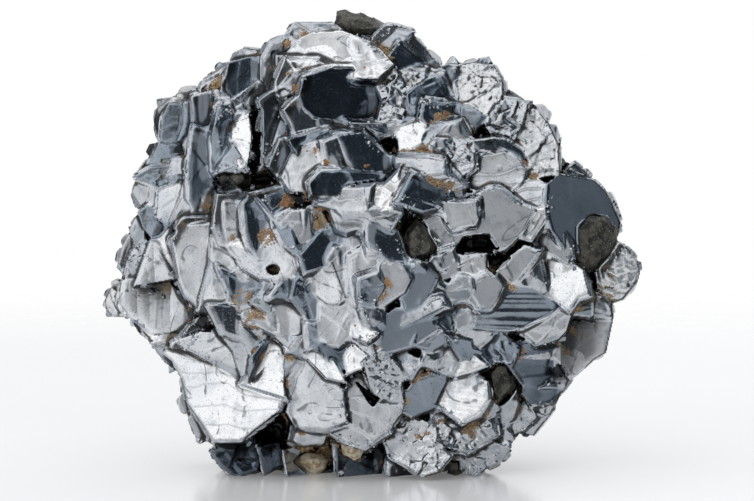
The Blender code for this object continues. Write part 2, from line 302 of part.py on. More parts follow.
LEFT_SIDE = [
    ("rim_brown", 1.2, DIM, [
        (-50.5, 42.8), (-49.6, 46), (-47.7, 50), (-46.5, 46.2), (-47.8, 43.3), (-49.3, 40.5)]),
    ("rim_bright", 2.4, PALE, [(-48.2, 49.9), (-46.4, 50.5), (-44.8, 46), (-46.8, 45.2)]),
    ("rim_top", 1.0, DARK, [(-47.9, 49.9), (-47, 51.9), (-45.9, 53), (-45.6, 49.8)]),
    ("west_blue", 1.4, SLATE, [
        (-46.2, 53), (-44.8, 54), (-42, 53.3), (-39.8, 51), (-41, 48.6), (-43, 47.4), (-45.3, 50.4)]),
    ("big_triangle", 4.2, FACING, [(-43.9, 47.3), (-46.9, 38.9), (-37.1, 40.5), (-42.1, 47)]),
    ("triangle_edge", 4.8, BRIGHT, [(-42.5, 47), (-40.5, 49), (-38.3, 46), (-37.2, 41), (-38.1, 40.8)]),
    ("triangle_left", 3.2, LEFT, [(-48, 45.3), (-45, 46.2), (-43.8, 47), (-46.8, 38.9), (-49.6, 40.1)]),
    ("pale_slab", 3.6, FACING, [
        (-39.1, 47.5), (-36.5, 49.5), (-33, 49.7), (-30.3, 47.3), (-30.5, 42), (-31.4, 38.3),
        (-33.2, 34.8), (-36.3, 37.2), (-37.9, 40.2)]),
    ("slab_top_ledge", 3.2, SLATE, [
        (-37.8, 50.2), (-37, 51), (-32, 51.3), (-30.4, 49.2), (-33, 49.2), (-36.5, 49)]),
    ("ribbed_slab", 2.8, FACING, [(-30.8, 47), (-28.3, 46.2), (-24.6, 41), (-25, 39.7), (-29.8, 40.2), (-31, 43)]),
    ("small_pyramid", 5.2, FACING, [(-31.5, 41.3), (-29.3, 41.3), (-26.8, 35), (-26.9, 34.4), (-33.3, 34.5)]),
    ("small_pyramid_side", 4.0, DARK, [(-29.5, 41.3), (-26, 39.9), (-24.7, 38.6), (-26.8, 34.8)]),
    ("tongue", 3.2, FACING, [
        (-49.6, 39), (-46, 39.3), (-41, 39), (-38.5, 36.6), (-35, 33.7), (-33.9, 30.6), (-38, 29.7),
        (-44, 29.3), (-46.6, 32), (-48.6, 33), (-50.2, 35)]),
    ("tongue_knob", 1.4, LEFT, [
        (-53, 35.6), (-52, 37.6), (-49.6, 39.1), (-47.8, 36), (-49, 32.8), (-51.6, 32.8), (-52.9, 34)]),
    ("tongue_rim", 0.4, DIM, [(-48.7, 33), (-44.2, 28.8), (-43.3, 27), (-45.3, 28.6), (-46.9, 30.4)]),
    ("sheet_base", 2.2, BRIGHT, [
        (-44.9, 28.8), (-37, 30), (-26, 21), (-16.5, 26.9), (-15, 24.3), (-18, 17), (-18.8, 14),
        (-26, 8.5), (-31, 8.3), (-36.3, 15.5), (-37.3, 20.5), (-39, 24)]),
    ("sheet_right", 3.9, BRIGHT, [
        (-21.8, 23.8), (-19, 28.7), (-17.2, 27.4), (-15.9, 26.5), (-15, 24.4), (-18, 20), (-17.8, 17.1),
        (-24.8, 19.3)]),
    ("sheet_middle", 3.1, BRIGHT, [
        (-35.4, 17.3), (-33.4, 20.2), (-31.3, 21.5), (-25, 18.9), (-17.2, 17.2), (-18.7, 14.5),
        (-23.6, 16.3), (-26, 14.9), (-28.2, 12.9), (-30.5, 13.2), (-33, 15.1)]),
    ("sheet_edge_dark", 3.0, SLATE, [(-43.1, 26.5), (-38.5, 26.1), (-37, 23.8), (-37.1, 21.3), (-40.4, 23.1)]),
    ("sheet_corner", 2.4, DIM, [(-36.1, 12), (-34.6, 12.2), (-31, 9.6), (-33.4, 7.9), (-34.9, 8.7)]),
    ("sheet_left_small", 2.8, LEFT, [(-37.3, 16.6), (-36, 17.1), (-33, 15.1), (-32, 12.4), (-36.3, 12.5)]),
    ("pyramid_face", 6.4, (-1, -5), [(-38.5, 27.2), (-34, 28.9), (-28.1, 28.4), (-26.2, 26), (-24.8, 19.8)]),
    ("pyramid_top", 3.8, DARK, [
        (-38.6, 27.2), (-36, 30.1), (-33, 31.8), (-30.6, 31.2), (-31.5, 28.7), (-34, 28.3)]),
    ("pyramid_stripes", 5.4, DIM, [(-28.3, 28.5), (-25.2, 30.2), (-22.4, 24.6), (-24.1, 20.4), (-25.3, 22), (-26.4, 26)]),
    ("pyramid_side", 4.8, DARK, [(-25.4, 30.2), (-19.9, 28.7), (-19.8, 27), (-22, 23.8), (-24.3, 20), (-23.4, 24.8)]),
    ("lintel", 1.6, NIGHT, [(-31.2, 33.8), (-26, 34.1), (-19.8, 29.9), (-19.6, 28.2), (-25.4, 28.2), (-29.2, 29.8)]),
    ("ledge_upper", 3.2, PALE, [(-26.1, 34.8), (-25, 38.8), (-20.9, 40.1), (-22.2, 35.8)]),
    ("ledge_lower", 3.8, PALE, [(-26.7, 34.7), (-22.3, 35.8), (-19.2, 33.2), (-19, 29.8), (-26.7, 33.5)]),
    ("ledge_slot", 1.4, NIGHT, [(-22.5, 35.6), (-20, 39.8), (-19, 36), (-19.2, 33.2)]),
]

LOWER = [
    ("facet_tower", 5.4, PALE, [
        (-19.2, 36.9), (-15.3, 36.5), (-12.2, 32.7), (-10.1, 31), (-11.6, 28), (-13, 26.2), (-15.2, 26.4),
        (-19, 29.5)]),
    ("facet_tower_cap", 4.2, SLATE, [(-19.2, 36.7), (-17.5, 39), (-14.4, 38.8), (-15, 36.2)]),
    ("facet_tower_side", 4.0, DARK, [(-14.8, 38.8), (-10.2, 36.1), (-9.7, 31), (-12.4, 32.5), (-15.4, 36.4)]),
    ("tower_foot", 3.8, DIM, [(-15.4, 25.8), (-13.2, 28.4), (-11.9, 28.2), (-11.9, 25.7), (-13.5, 24.8)]),
    ("tower_slot", 3.2, DARK, [(-12.2, 30.6), (-10, 30.8), (-10.1, 26.8), (-12, 26.7)]),
    ("round_left", 5.4, PALE, [
        (-17.4, 20.4), (-14.2, 24.5), (-11.5, 22.3), (-9, 20.5), (-6, 17.2), (-5.4, 12), (-9, 10.7),
        (-14.4, 11.1), (-15.7, 13.4), (-15, 16)]),
    ("round_right", 5.7, PALE, [
        (-6.3, 16.6), (-4.8, 20.3), (-3, 21.9), (-1.7, 18.4), (0.2, 15), (5.9, 15.2), (5.3, 13.3),
        (2.5, 9.9), (-1.4, 7.1), (-5, 8.1), (-9.1, 10.8)]),
    ("wavy_shoulder", 4.6, DIM, [(-1.1, 23), (2, 25.2), (5, 22.5), (5.8, 15.6), (1.5, 16.4), (0, 19)]),
    ("speck_left", 5.0, BRIGHT, [(-5, 24.5), (-3.5, 26.4), (-1.7, 25.6), (-1.9, 22.9), (-4.3, 21.9)]),
    ("speck_middle", 5.2, BRIGHT, [(-2.6, 27.3), (0.1, 27.1), (0.1, 25.1)]),
    ("speck_upper", 5.4, BRIGHT, [(-3.6, 30.6), (-1.5, 30.5), (0.1, 29), (-1, 27.9), (-3, 28.9)]),
    ("light_wedge", 4.4, BRIGHT, [(-12.9, 25.2), (-10, 26.5), (-9.1, 25.6), (-7.1, 21.6), (-6.1, 20.1), (-8.7, 20.9)]),
    ("dark_strips", 2.0, DARK, [(-9.3, 26.7), (-6.4, 27.4), (-4.8, 24), (-5.4, 21.3), (-7.6, 21.8)]),
    ("satin_left", 3.6, SLATE, [(6.3, 14.2), (6.8, 16.6), (9.5, 20.1), (14, 21.5), (15, 18), (12.5, 14.5), (8, 13.1)]),
    ("satin_right", 4.6, BRIGHT, [
        (11.5, 20.6), (14, 21.5), (18.5, 21.1), (22.4, 19), (22.8, 16), (21, 13.4), (18, 12), (14.5, 14.8),
        (12.4, 16)]),
    ("satin_stripes", 4.0, DARK, [(20.8, 20), (22.6, 19), (24.9, 14), (23, 13.3), (21.3, 16)]),
    ("rough_slope", 2.6, (4, 6), [
        (11.8, 12), (14.8, 14.9), (20, 13.2), (24, 12.2), (24.6, 9), (19, 5.8), (14.4, 6.8), (12.3, 8)]),
    ("lower_knob", 4.2, FACING, [
        (15.8, 5.5), (18, 8.2), (22, 8.4), (25, 6.7), (27.1, 6.2), (25.5, 3.8), (22.5, 2.3), (21, 0.6),
        (19, 1.2), (17, 3)]),
    ("right_sliver", 3.0, FACING, [(23.9, 12.6), (25.3, 12.4), (27.4, 8), (27.1, 6.4), (24.9, 6.8), (24, 9)]),
    ("lower_light", 5.0, PALE, [
        (2.8, 9.9), (5, 12.9), (7.5, 12.7), (11.6, 10.6), (12.6, 7), (15, 4.5), (13, 1.9), (10, 1),
        (7.5, 2.8), (4, 4.9)]),
    ("lower_small_grey", 3.2, FACING, [(-15.7, 10.3), (-12, 11.1), (-9.9, 9.6), (-10.4, 7.9), (-13.5, 7.3), (-16.2, 8.2)]),
]

# The dark underside next to the floor keeps its own heights.
UNDERSIDE = [
    ("foot_left", 1.0, NIGHT, [
        (-32.4, 5.6), (-28, 8.7), (-22, 10), (-17.4, 10.3), (-16.8, 7.5), (-17.5, 3.5), (-21, 1.6),
        (-25, 0.2), (-28, 0.6), (-30.4, 2.6)]),
    ("foot_left_lump", 4.6, (20, 12), [(-29, 3.4), (-27.4, 6.4), (-24, 8.2), (-22, 5.5), (-22.6, 1.4), (-26, 0.2)]),
    ("foot_left_low", 2.4, DARK, [(-23, 6.5), (-18.2, 7.6), (-17.6, 2.4), (-21.5, 0.4)]),
    ("foot_middle", 0.0, NIGHT, [(-18, 5.8), (-12, 7.8), (-6, 7.4), (-8, 0.2), (-17, 0)]),
    ("foot_middle_right", 1.4, DARK, [(-7.5, 7.5), (0, 7.2), (3.5, 5), (4, 0), (-7, 0)]),
    ("foot_right", 2.2, NIGHT, [(2.8, 5), (9, 3.2), (15, 4.6), (17.6, 0.6), (3.2, 0)]),
]

METALLIC = CROWN + UPPER_LEFT + UPPER_RIGHT + CENTRE + RIGHT + LEFT_SIDE + LOWER

# Worn crystals of other minerals: name, rise, turn, corners. Each is an object of its own.
DULL = [
    ("dull_crystal_crown", 3.0, (-4, 14), [
        (-8, 90.4), (-7.1, 93.6), (-5.3, 94), (-3.4, 93.2), (-2.2, 93.6), (-0.1, 92.3), (2.3, 89.8),
        (0.2, 88.4), (-2, 88.4), (-5, 89)]),
    ("dull_crystal_left", 3.0, (4, -6), [
        (-30.9, 60.6), (-29.6, 61.9), (-25.2, 61.8), (-24.1, 60.6), (-24.2, 58.6), (-26, 57.2),
        (-28.5, 57.3), (-30.2, 58.5)]),
    ("dull_crystal_centre", 2.6, (6, 2), [
        (5.9, 46), (6.4, 49.6), (8.6, 52.2), (10.6, 51.2), (13.1, 47), (12.6, 44.4), (9.6, 43.1), (6.8, 43)]),
    ("dull_crystal_right", 2.6, (10, -4), [
        (40, 51), (43.5, 52.5), (47, 52.4), (49.1, 50), (49.1, 47), (47.6, 44.4), (45, 41.3), (42.5, 40.8),
        (39.7, 43.7), (39.2, 47)]),
    ("dull_crystal_lower_right", 2.6, (6, 4), [
        (22.6, 21), (24.5, 23.6), (27.1, 23.5), (28.8, 20.5), (29, 18.4), (26, 15.3), (24.8, 14.4), (23.4, 17)]),
    ("dull_crystal_foot", 2.4, (2, -4), [(14.3, 3.4), (15.6, 4.2), (17.8, 4), (18.2, 1), (15, 0.2)]),
]
CREAM = [
    ("quartz_crystal_left", 4.4, (0, -6), [
        (-16.5, 3.5), (-13, 5.1), (-10, 5.2), (-8.7, 3.8), (-9.2, 2), (-11, 0.5), (-12.5, 0.5), (-14.4, 1.9)]),
    ("quartz_crystal_right", 5.0, (2, 2), [
        (-6.4, 7.6), (-4, 8.4), (-1.9, 7.6), (-0.9, 6.3), (-2.2, 4.2), (-3.6, 3.6), (-5.9, 5)]),
]

# Deep gaps and pits in the display side: name, how far the floor lies below the dome, corners (u, v).
PITS = [
    ("east_pit", -2.0, [(25, 52.9), (26.1, 52.6), (27.8, 50.9), (26, 49.4), (25.3, 51)]),
    ("round_pit", 1.0, [(-3.3, 19.7), (-1.6, 18.2), (1.5, 16.2), (0.2, 14.5), (-1, 16)]),
    ("west_pit", 0.0, [(-21.3, 42.2), (-19.4, 43.1), (-18, 42.2), (-18.6, 40.4), (-20.4, 40.6)]),
    ("column_gap", 8.0, [(-24.5, 73), (-22.1, 73.5), (-22, 68), (-22.2, 62.5), (-24.3, 62.2), (-23.6, 68)]),
    ("east_hole", 7.0, [(16.6, 45.7), (18.2, 48.2), (23.4, 48.6), (25.2, 45.9), (22.2, 45), (18, 44.8)]),
    ("hook_hole", 6.0, [(22.6, 41.8), (24, 40.3), (27.6, 44), (26, 45.2), (22.6, 44.6)]),
]

# The edge and the back are covered by blocks of the same habit, placed by a rule.
BACK_BLOCKS = 36
FRONT_RIM = 0.16  # how far round to the front they start, as a share of the back's depth
BACK_FACE = (6.0, 10.0)  # smallest and largest half size of a block's face

# The footprint on which the cluster stands, in the row frame: (x, y) corners.
FOOT_HEIGHT = 9.0
FOOTPRINT = [(-24, -4), (-14, -6), (4, -6.5), (15, -5), (18, 2), (15, 12), (2, 16), (-13, 15), (-22, 8)]


def reach(across, along):
    """Distance from the middle of the display sheet to its outline, in a direction."""
    farthest = 1.0
    for i, (u, v) in enumerate(OUTLINE):
        start = Vector((u - DOME_CENTRE[0], v - DOME_CENTRE[1]))
        nxt = OUTLINE[(i + 1) % len(OUTLINE)]
        side = Vector((nxt[0] - u, nxt[1] - v))
        ray = Vector((across, along)).normalized()
        crossing = ray.x * side.y - ray.y * side.x
        if abs(crossing) < 1e-9:
            continue
        distance = (start.x * side.y - start.y * side.x) / crossing
        share = (start.x * ray.y - start.y * ray.x) / crossing
        if distance > 0 and -1e-6 <= share <= 1 + 1e-6:
            farthest = max(farthest, distance)
    return farthest


def share_of_reach(u, v):
    """0 in the middle of the display sheet and 1 on its outline."""
    across, along = u - DOME_CENTRE[0], v - DOME_CENTRE[1]
    return math.hypot(across, along) / reach(across + 1e-9, along)


def dome(u, v):
    """Height of the display swelling above the sheet: half an ellipse out from the middle to the outline."""
    return DOME_RISE * math.sqrt(max(0.0, 1.0 - share_of_reach(u, v) ** 2))


def rounded(turn, u, v):
    """The turn of a face at a point of the sheet, turned further outwards with the dome's slope."""
    share = min(share_of_reach(u, v), 0.96)
    across, along = u - DOME_CENTRE[0], v - DOME_CENTRE[1]
    far = math.hypot(across, along)
    slope = DOME_RISE * share / (math.sqrt(1.0 - share**2) * reach(across + 1e-9, along))
    outwards = ROUNDING * math.degrees(math.atan(slope))
    return turn[0] + outwards * across / far, turn[1] + outwards * along / far


def display_frame():
    """Matrix from the display sheet, in millimetres, to the part's frame, in metres."""
    lean = math.radians(DISPLAY_LEAN_DEG)
    right = Vector((1, 0, 0))
    up = Vector((0, math.sin(lean), math.cos(lean)))
    out = Vector((0, -math.cos(lean), math.sin(lean)))
    drop = Vector((0, 0, -FLOOR_V))
    return sheet_frame(right, up, out, drop)


def sheet_frame(right, up, out, origin):
    """Matrix whose sheet axes are right, up and out, with its origin in millimetres of the part's frame."""
    axes = Matrix((right, up, out)).transposed().to_4x4()
    return Matrix.Scale(MM, 4) @ Matrix.Translation(origin) @ axes


def area_of(corners):
    """Area inside an outline, above zero when its corners run anticlockwise."""
    return 0.5 * sum(
        before[0] * corner[1] - corner[0] * before[1]
        for before, corner in zip([corners[-1], *corners[:-1]], corners)
    )


def anticlockwise(corners):
    """The outline anticlockwise."""
    return corners if area_of(corners) > 0 else corners[::-1]


def middle_of(corners):
    return [sum(corner[i] for corner in corners) / len(corners) for i in (0, 1)]


def side_of(a, b, c):
    """Above zero where c is to the left of the line from a to b."""
    return (b[0] - a[0]) * (c[1] - a[1]) - (b[1] - a[1]) * (c[0] - a[0])


def crosses_itself(corners):
    """Whether any two sides of the outline that aren't neighbours cross, or it has turned inside out."""
    count = len(corners)
    for i in range(count):
        a, b = corners[i], corners[(i + 1) % count]
        for j in range(i + 2, count - (i == 0)):
            c, d = corners[j], corners[(j + 1) % count]
            if side_of(a, b, c) * side_of(a, b, d) < 0 and side_of(c, d, a) * side_of(c, d, b) < 0:
                return True
    after = corners[1:] + corners[:1]
    return sum(a[0] * b[1] - b[0] * a[1] for a, b in zip(corners, after)) <= 0.2


def moved_out(corners, distance):
    """An anticlockwise outline with its sides moved outwards by the distance, or less where it would cross
    itself or turn inside out."""
    while abs(distance) > 0.02:
        moved = []
        for i, corner in enumerate(corners):
            here = Vector(corner)
            before = (here - Vector(corners[i - 1])).normalized()
            after = (Vector(corners[(i + 1) % len(corners)]) - here).normalized()
            normals = Vector((before.y, -before.x)), Vector((after.y, -after.x))
            middle = (normals[0] + normals[1]).normalized()
            stretch = min(1.0 / max(middle.dot(normals[0]), 0.2), 1.9)
            moved.append(tuple(here + middle * distance * stretch))
        if not crosses_itself(moved) and area_of(moved) > 0.12 * area_of(corners):
            return moved
        distance *= 0.6
    return list(corners)


def height_at(point, centre, height, turn):
    """Height of a turned face at a point of the sheet."""
    right, up = (math.tan(math.radians(angle)) for angle in turn)
    return height - right * (point[0] - centre[0]) - up * (point[1] - centre[1])


def near_a_side(point, corners):
    """Whether the point lies within MEETING of a side of the outline."""
    here = Vector(point)
    for i, corner in enumerate(corners):
        start, end = Vector(corners[i - 1]), Vector(corner)
        along = max(0.0, min(1.0, (here - start).dot(end - start) / (end - start).length_squared))
        if (start.lerp(end, along) - here).length < MEETING:
            return True
    return False


def settled_heights(specs):
    """Heights of the faces' middles, so that neighbours meet at their shared corners where they can.

    Every face pulls towards its own height, the dome with its rise, and every corner that touches
    a neighbour pulls the two faces together there: a least-squares balance of both.
    """
    middles = [middle_of(corners) for _, _, _, corners in specs]
    rises = [RISE_MIDDLE + RISE_SPREAD * (spec[1] - RISE_MIDDLE) for spec in specs]
    own = [dome(*middle) + rise for middle, rise in zip(middles, rises)]
    rows, targets = [], []
    for i, height in enumerate(own):
        row = np.zeros(len(specs))
        row[i] = 1.0
        rows.append(row)
        targets.append(height)
    for i, (_, _, turn_i, corners_i) in enumerate(specs):
        for j, (_, _, turn_j, corners_j) in enumerate(specs):
            if i == j or math.dist(middles[i], middles[j]) > 30:
                continue
            for point in corners_i:
                if near_a_side(point, corners_j):
                    row = np.zeros(len(specs))
                    row[i], row[j] = MEETING_WEIGHT / 2, -MEETING_WEIGHT / 2
                    rows.append(row)
                    slope_i = height_at(point, middles[i], 0.0, turn_i)
                    slope_j = height_at(point, middles[j], 0.0, turn_j)
                    targets.append((slope_j - slope_i) * MEETING_WEIGHT / 2)
    return np.linalg.lstsq(np.array(rows), np.array(targets), rcond=None)[0]


def crystal_block(name, corners, height, turn, frame, rings, clearance=0.0):
    """A solid from a flat face to its root: each ring is the outline widened, at a height over the face.

    With a clearance, every ring is that much wider again.
    """
    corners = anticlockwise(corners)
    centre = middle_of(corners)
    bm = bmesh.new()
    levels = []
    for widening, above in rings:
        outline = moved_out(moved_out(corners, widening), clearance)
        levels.append([
            bm.verts.new((u, v, height_at((u, v), centre, height, turn) + above)) for u, v in outline
        ])
    bm.faces.new(levels[0])
    bm.faces.new(reversed(levels[-1]))
    for upper, lower in zip(levels, levels[1:]):
        for i in range(len(corners)):
            j = (i + 1) % len(corners)
            bm.faces.new((upper[i], lower[i], lower[j]))
            bm.faces.new((upper[i], lower[j], upper[j]))
    bm.transform(frame)
    mesh = bpy.data.meshes.new(name)
    bm.to_mesh(mesh)
    bm.free()
    return mesh


def sharp_rings(inner, depth):
    """Rings of a sharp crystal: its face, the foot of its flank and its root. The last two are wider than the
    face by a share that is 1 in the middle of the display side and small near the outline."""
    flank = FLANK[0] * max(0.15, inner)
    spread = BLOCK_SPREAD * max(0.1, inner)
    return [(GROWN, 0.0), (GROWN + flank, -FLANK[1]), (GROWN + flank + spread, -depth)]


def place(mesh, collection, material=None):
    """An object for the mesh, in the collection, with its material."""
    obj = bpy.data.objects.new(mesh.name, mesh)
    collection.objects.link(obj)
    if material:
        mesh.materials.append(material)
    return obj


def helper_collection(name):
    """A collection whose objects only shape others, and are not rendered."""
    collection = bpy.data.collections.new(name)
    bpy.context.scene.collection.children.link(collection)
    collection.hide_render = True
    return collection


def principled(name, colour, roughness, metallic):
    """A plain material with the crystal's colour."""
    material = bpy.data.materials.new(name)
    material.use_nodes = True
    shader = material.node_tree.nodes["Principled BSDF"]
    shader.inputs["Base Color"].default_value = (*colour, 1.0)
    shader.inputs["Roughness"].default_value = roughness
    shader.inputs["Metallic"].default_value = metallic
    return material


def core_mesh(rng):
    """The grown-together inside: a sphere pulled out to just below the crystals' faces, and roughened."""
    bm = bmesh.new()
    bmesh.ops.create_icosphere(bm, subdivisions=2, radius=1.0)
    for vert in bm.verts:
        across, along, out = vert.co
        flat = math.hypot(across, along)
        wide = flat * (reach(across + 1e-9, along) - CORE_BELOW)
        thick = out * ((DOME_RISE if out > 0 else DOME_BACK) - CORE_BELOW)
        wobble = 1.0 + rng.uniform(-CORE_ROUGHNESS, CORE_ROUGHNESS)
        sheet = Vector((across, along, 0.0)).normalized() * wide * wobble if flat > 1e-6 else Vector()
        vert.co = Vector((DOME_CENTRE[0] + sheet.x, DOME_CENTRE[1] + sheet.y, thick * wobble))
    bm.transform(display_frame())
    mesh = bpy.data.meshes.new("core")
    bm.to_mesh(mesh)
    bm.free()
    return mesh


def foot_mesh():
    """The flat-bottomed foot: the footprint carried up and spread into the core."""
    bm = bmesh.new()
    rings = []
    for height, share in ((-4.0, 0.97), (0.6, 1.0), (FOOT_HEIGHT, 1.12)):
        rings.append([bm.verts.new((x * share * MM, y * share * MM, height * MM)) for x, y in FOOTPRINT])
    bm.faces.new(reversed(rings[0]))
    bm.faces.new(rings[-1])
    for lower, upper in zip(rings, rings[1:]):
        for i in range(len(FOOTPRINT)):
            j = (i + 1) % len(FOOTPRINT)
            bm.faces.new((lower[i], lower[j], upper[j], upper[i]))
    bmesh.ops.recalc_face_normals(bm, faces=bm.faces[:])
    mesh = bpy.data.meshes.new("foot")
    bm.to_mesh(mesh)
    bm.free()
    return mesh


def wild_outline(rng, half_size):
    """An uneven five- to seven-sided outline, with flat sides of different length, about a sheet's origin."""
    count = rng.choice((5, 5, 6, 7))
    stretch = rng.uniform(0.72, 1.0)
    turn = rng.uniform(0, 2 * math.pi)
    outline = []
    for i in range(count):
        angle = 2 * math.pi * (i + rng.uniform(-0.22, 0.22)) / count
        reach = half_size * rng.uniform(0.82, 1.08)
        across, along = reach * math.cos(angle), reach * stretch * math.sin(angle)
        outline.append((
            across * math.cos(turn) - along * math.sin(turn),
            across * math.sin(turn) + along * math.cos(turn),
        ))
    return outline


def tangent_frame(point, outwards, rng):
    """A sheet through a point of the display frame, facing outwards, with a small turn of its own."""
    out = Vector(outwards).normalized()
    right = Vector((0, 1, 0)).cross(out)
    if right.length < 0.2:
        right = Vector((1, 0, 0))
    right = (right - right.dot(out) * out).normalized()
    up = out.cross(right)
    lean = Matrix.Rotation(math.radians(rng.uniform(-12, 12)), 4, up)
    tip = Matrix.Rotation(math.radians(rng.uniform(-12, 12)), 4, right)
    axes = Matrix((right, up, out)).transposed().to_4x4()
    return display_frame() @ Matrix.Translation(point) @ tip @ lean @ axes


def back_blocks(rng, collection):
    """Blocks over the back and the edge, spread evenly over the swelling by the golden angle."""
    golden = math.pi * (3 - math.sqrt(5))
    for i in range(BACK_BLOCKS):
        depth = (i + 0.3) / BACK_BLOCKS * (1.0 + FRONT_RIM) - FRONT_RIM
        flat = math.sqrt(1.0 - depth**2)
        across, along = math.cos(i * golden), math.sin(i * golden)
        wide = reach(across, along)
        lift = rng.uniform(0.92, 1.0)
        point = Vector((
            DOME_CENTRE[0] + flat * across * wide * lift,
            DOME_CENTRE[1] + flat * along * wide * lift,
            -depth * DOME_BACK * (lift + 0.04),
        ))
        outwards = Vector((flat * across / wide, flat * along / wide, -depth / DOME_BACK))
        frame = tangent_frame(point, outwards, rng)
        outline = wild_outline(rng, rng.uniform(*BACK_FACE))
        rings = sharp_rings(1.0, BLOCK_DEPTH)
        place(crystal_block(f"back_block_{i:02d}", outline, 0.0, FACING, frame, rings), collection)


def islands(bm):
    """The groups of faces that hang together by their edges."""
    left = set(bm.faces)
    while left:
        group, todo = set(), [left.pop()]
        while todo:
            face = todo.pop()
            group.add(face)
            for edge in face.edges:
                for other in edge.link_faces:
                    if other in left:
                        left.remove(other)
                        todo.append(other)
        yield group


def volume_of(faces):
    """Signed volume inside a group of faces, in cubic metres: below zero for a closed hollow."""
    total = 0.0
    for face in faces:
        first, *rest = (vert.co for vert in face.verts)
        total += sum(first.dot(a.cross(b)) for a, b in zip(rest, rest[1:])) / 6
    return total


def fill_hollows(obj):
    """Bakes the object's modifiers and keeps its outer skin alone, so that closed hollows are solid.

    Faces that the Booleans split, and that lie in one plane, become one face again. The sockets and the
    flat base are cut after this, so that they keep their exact shape.
    """
    graph = bpy.context.evaluated_depsgraph_get()
    mesh = bpy.data.meshes.new_from_object(obj.evaluated_get(graph))
    obj.modifiers.clear()
    bm = bmesh.new()
    bm.from_mesh(mesh)
    groups = sorted(islands(bm), key=volume_of)
    for group in groups[:-1]:
        bmesh.ops.delete(bm, geom=list(group), context="FACES")
    bmesh.ops.dissolve_limit(bm, angle_limit=math.radians(FLAT_WITHIN_DEG), verts=bm.verts[:], edges=bm.edges[:])
    bmesh.ops.triangulate(bm, faces=bm.faces[:])
    triangles = len(bm.faces)
    bm.to_mesh(mesh)
    bm.free()
    mesh.name = obj.name
    obj.data = mesh
    slivers = obj.modifiers.new("merge_slivers", "DECIMATE")
    slivers.ratio = min(1.0, MOST_TRIANGLES / triangles)


def settled(specs):
    """The specs with each rise replaced by the settled height, and each turn rounded outwards."""
    turned = [(name, rise, rounded(turn, *middle_of(corners)), corners) for name, rise, turn, corners in specs]
    heights = settled_heights(turned)
    return {spec[0]: (height, *spec[2:]) for spec, height in zip(turned, heights)}


def metallic_blocks(rng, places, collection):
    """The display side's crystals, each with its spread kept small near the outline."""
    for name, *_ in METALLIC:
        height, turn, corners = places[name]
        corners = [tuple(x + rng.uniform(-UNEVENNESS, UNEVENNESS) for x in corner) for corner in corners]
        inner = 1.0 - share_of_reach(*middle_of(corners)) ** 2
        depth = BLOCK_DEPTH - RIM_SHALLOWER * (1.0 - inner)
        rings = sharp_rings(inner, depth)
        place(crystal_block(name, corners, height, turn, display_frame(), rings), collection)
    for name, rise, turn, corners in UNDERSIDE:
        height = dome(*middle_of(corners)) + rise
        rings = [(0.0, 0.0), (0.3, -BLOCK_DEPTH)]
        place(crystal_block(name, corners, height, turn, display_frame(), rings), collection)


def set_crystals(specs, places, material, collection, sockets, floor):
    """Worn crystals of another mineral in the collection, and their sockets in the collection to cut away."""
    for name, *_ in specs:
        height, turn, corners = places[name]
        mesh = crystal_block(name, corners, height, turn, display_frame(), LUMP)
        crystal = place(mesh, collection, material)
        if min(vertex.co.z for vertex in mesh.vertices) < 0.0:
            boolean(crystal, "DIFFERENCE", floor)
        rings = [(LUMP[0][0], SOCKET_GAP), *LUMP[1:-1], (LUMP[-1][0], LUMP[-1][1] - SOCKET_GAP)]
        socket = crystal_block("socket_" + name, corners, height, turn, display_frame(), rings, SOCKET_GAP)
        place(socket, sockets)


def pits(cut_away):
    """Tapering holes cut into the display side, from above its highest faces."""
    for name, depth, corners in PITS:
        height = dome(*middle_of(corners)) - depth
        rings = [(0.4, depth + 14.0), (0.0, 4.0), (-0.5, 0.0)]
        place(crystal_block(name, corners, height, FACING, display_frame(), rings), cut_away)


def below_the_floor():
    """A slab under the surface on which the cluster stands, to cut it off flat."""
    bm = bmesh.new()
    bmesh.ops.create_cube(bm, size=1.0)
    bmesh.ops.scale(bm, vec=(0.3, 0.3, 0.04), verts=bm.verts[:])
    bmesh.ops.translate(bm, vec=(0, 0, -0.02), verts=bm.verts[:])
    mesh = bpy.data.meshes.new("below_the_floor")
    bm.to_mesh(mesh)
    bm.free()
    return mesh


def boolean(obj, operation, collection):
    modifier = obj.modifiers.new(collection.name, "BOOLEAN")
    modifier.operation = operation
    modifier.operand_type = "COLLECTION"
    modifier.collection = collection
    modifier.solver = "EXACT"
    for helper in collection.objects:
        helper.hide_render = True
        helper.display_type = "WIRE"


def build():
    for obj in list(bpy.data.objects):
        bpy.data.objects.remove(obj)
    rng = random.Random(SEED)
    pieces = bpy.context.scene.collection
    grown = helper_collection("grown_together")
    holes = helper_collection("holes")
    sockets = helper_collection("sockets")
    floor = helper_collection("floor")

    metal = principled("magnetite", (0.42, 0.44, 0.47), 0.22, 1.0)
    dull = principled("dull_brown_mineral", (0.09, 0.085, 0.07), 0.6, 0.0)
    cream = principled("cream_quartz", (0.62, 0.55, 0.42), 0.35, 0.0)

    places = settled(METALLIC + DULL + CREAM)
    metallic_blocks(rng, places, grown)
    place(foot_mesh(), grown)
    back_blocks(rng, grown)
    pits(holes)
    place(below_the_floor(), floor)
    set_crystals(DULL, places, dull, pieces, sockets, floor)
    set_crystals(CREAM, places, cream, pieces, sockets, floor)

    cluster = place(core_mesh(rng), pieces, metal)
    cluster.name = "magnetite_cluster"
    boolean(cluster, "UNION", grown)
    boolean(cluster, "DIFFERENCE", holes)
    fill_hollows(cluster)
    boolean(cluster, "DIFFERENCE", sockets)
    boolean(cluster, "DIFFERENCE", floor)


build()
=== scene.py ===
"""Looks of a standing cluster of intergrown magnetite crystals with dull brown and cream crystals set in it.

Lengths are in millimetres until a mesh is made. The display sheet is the plane that the cluster's display side
is laid out on: u to the right, v upwards along the sheet, and w out of it towards the viewer.
"""

import functools
import itertools
import math

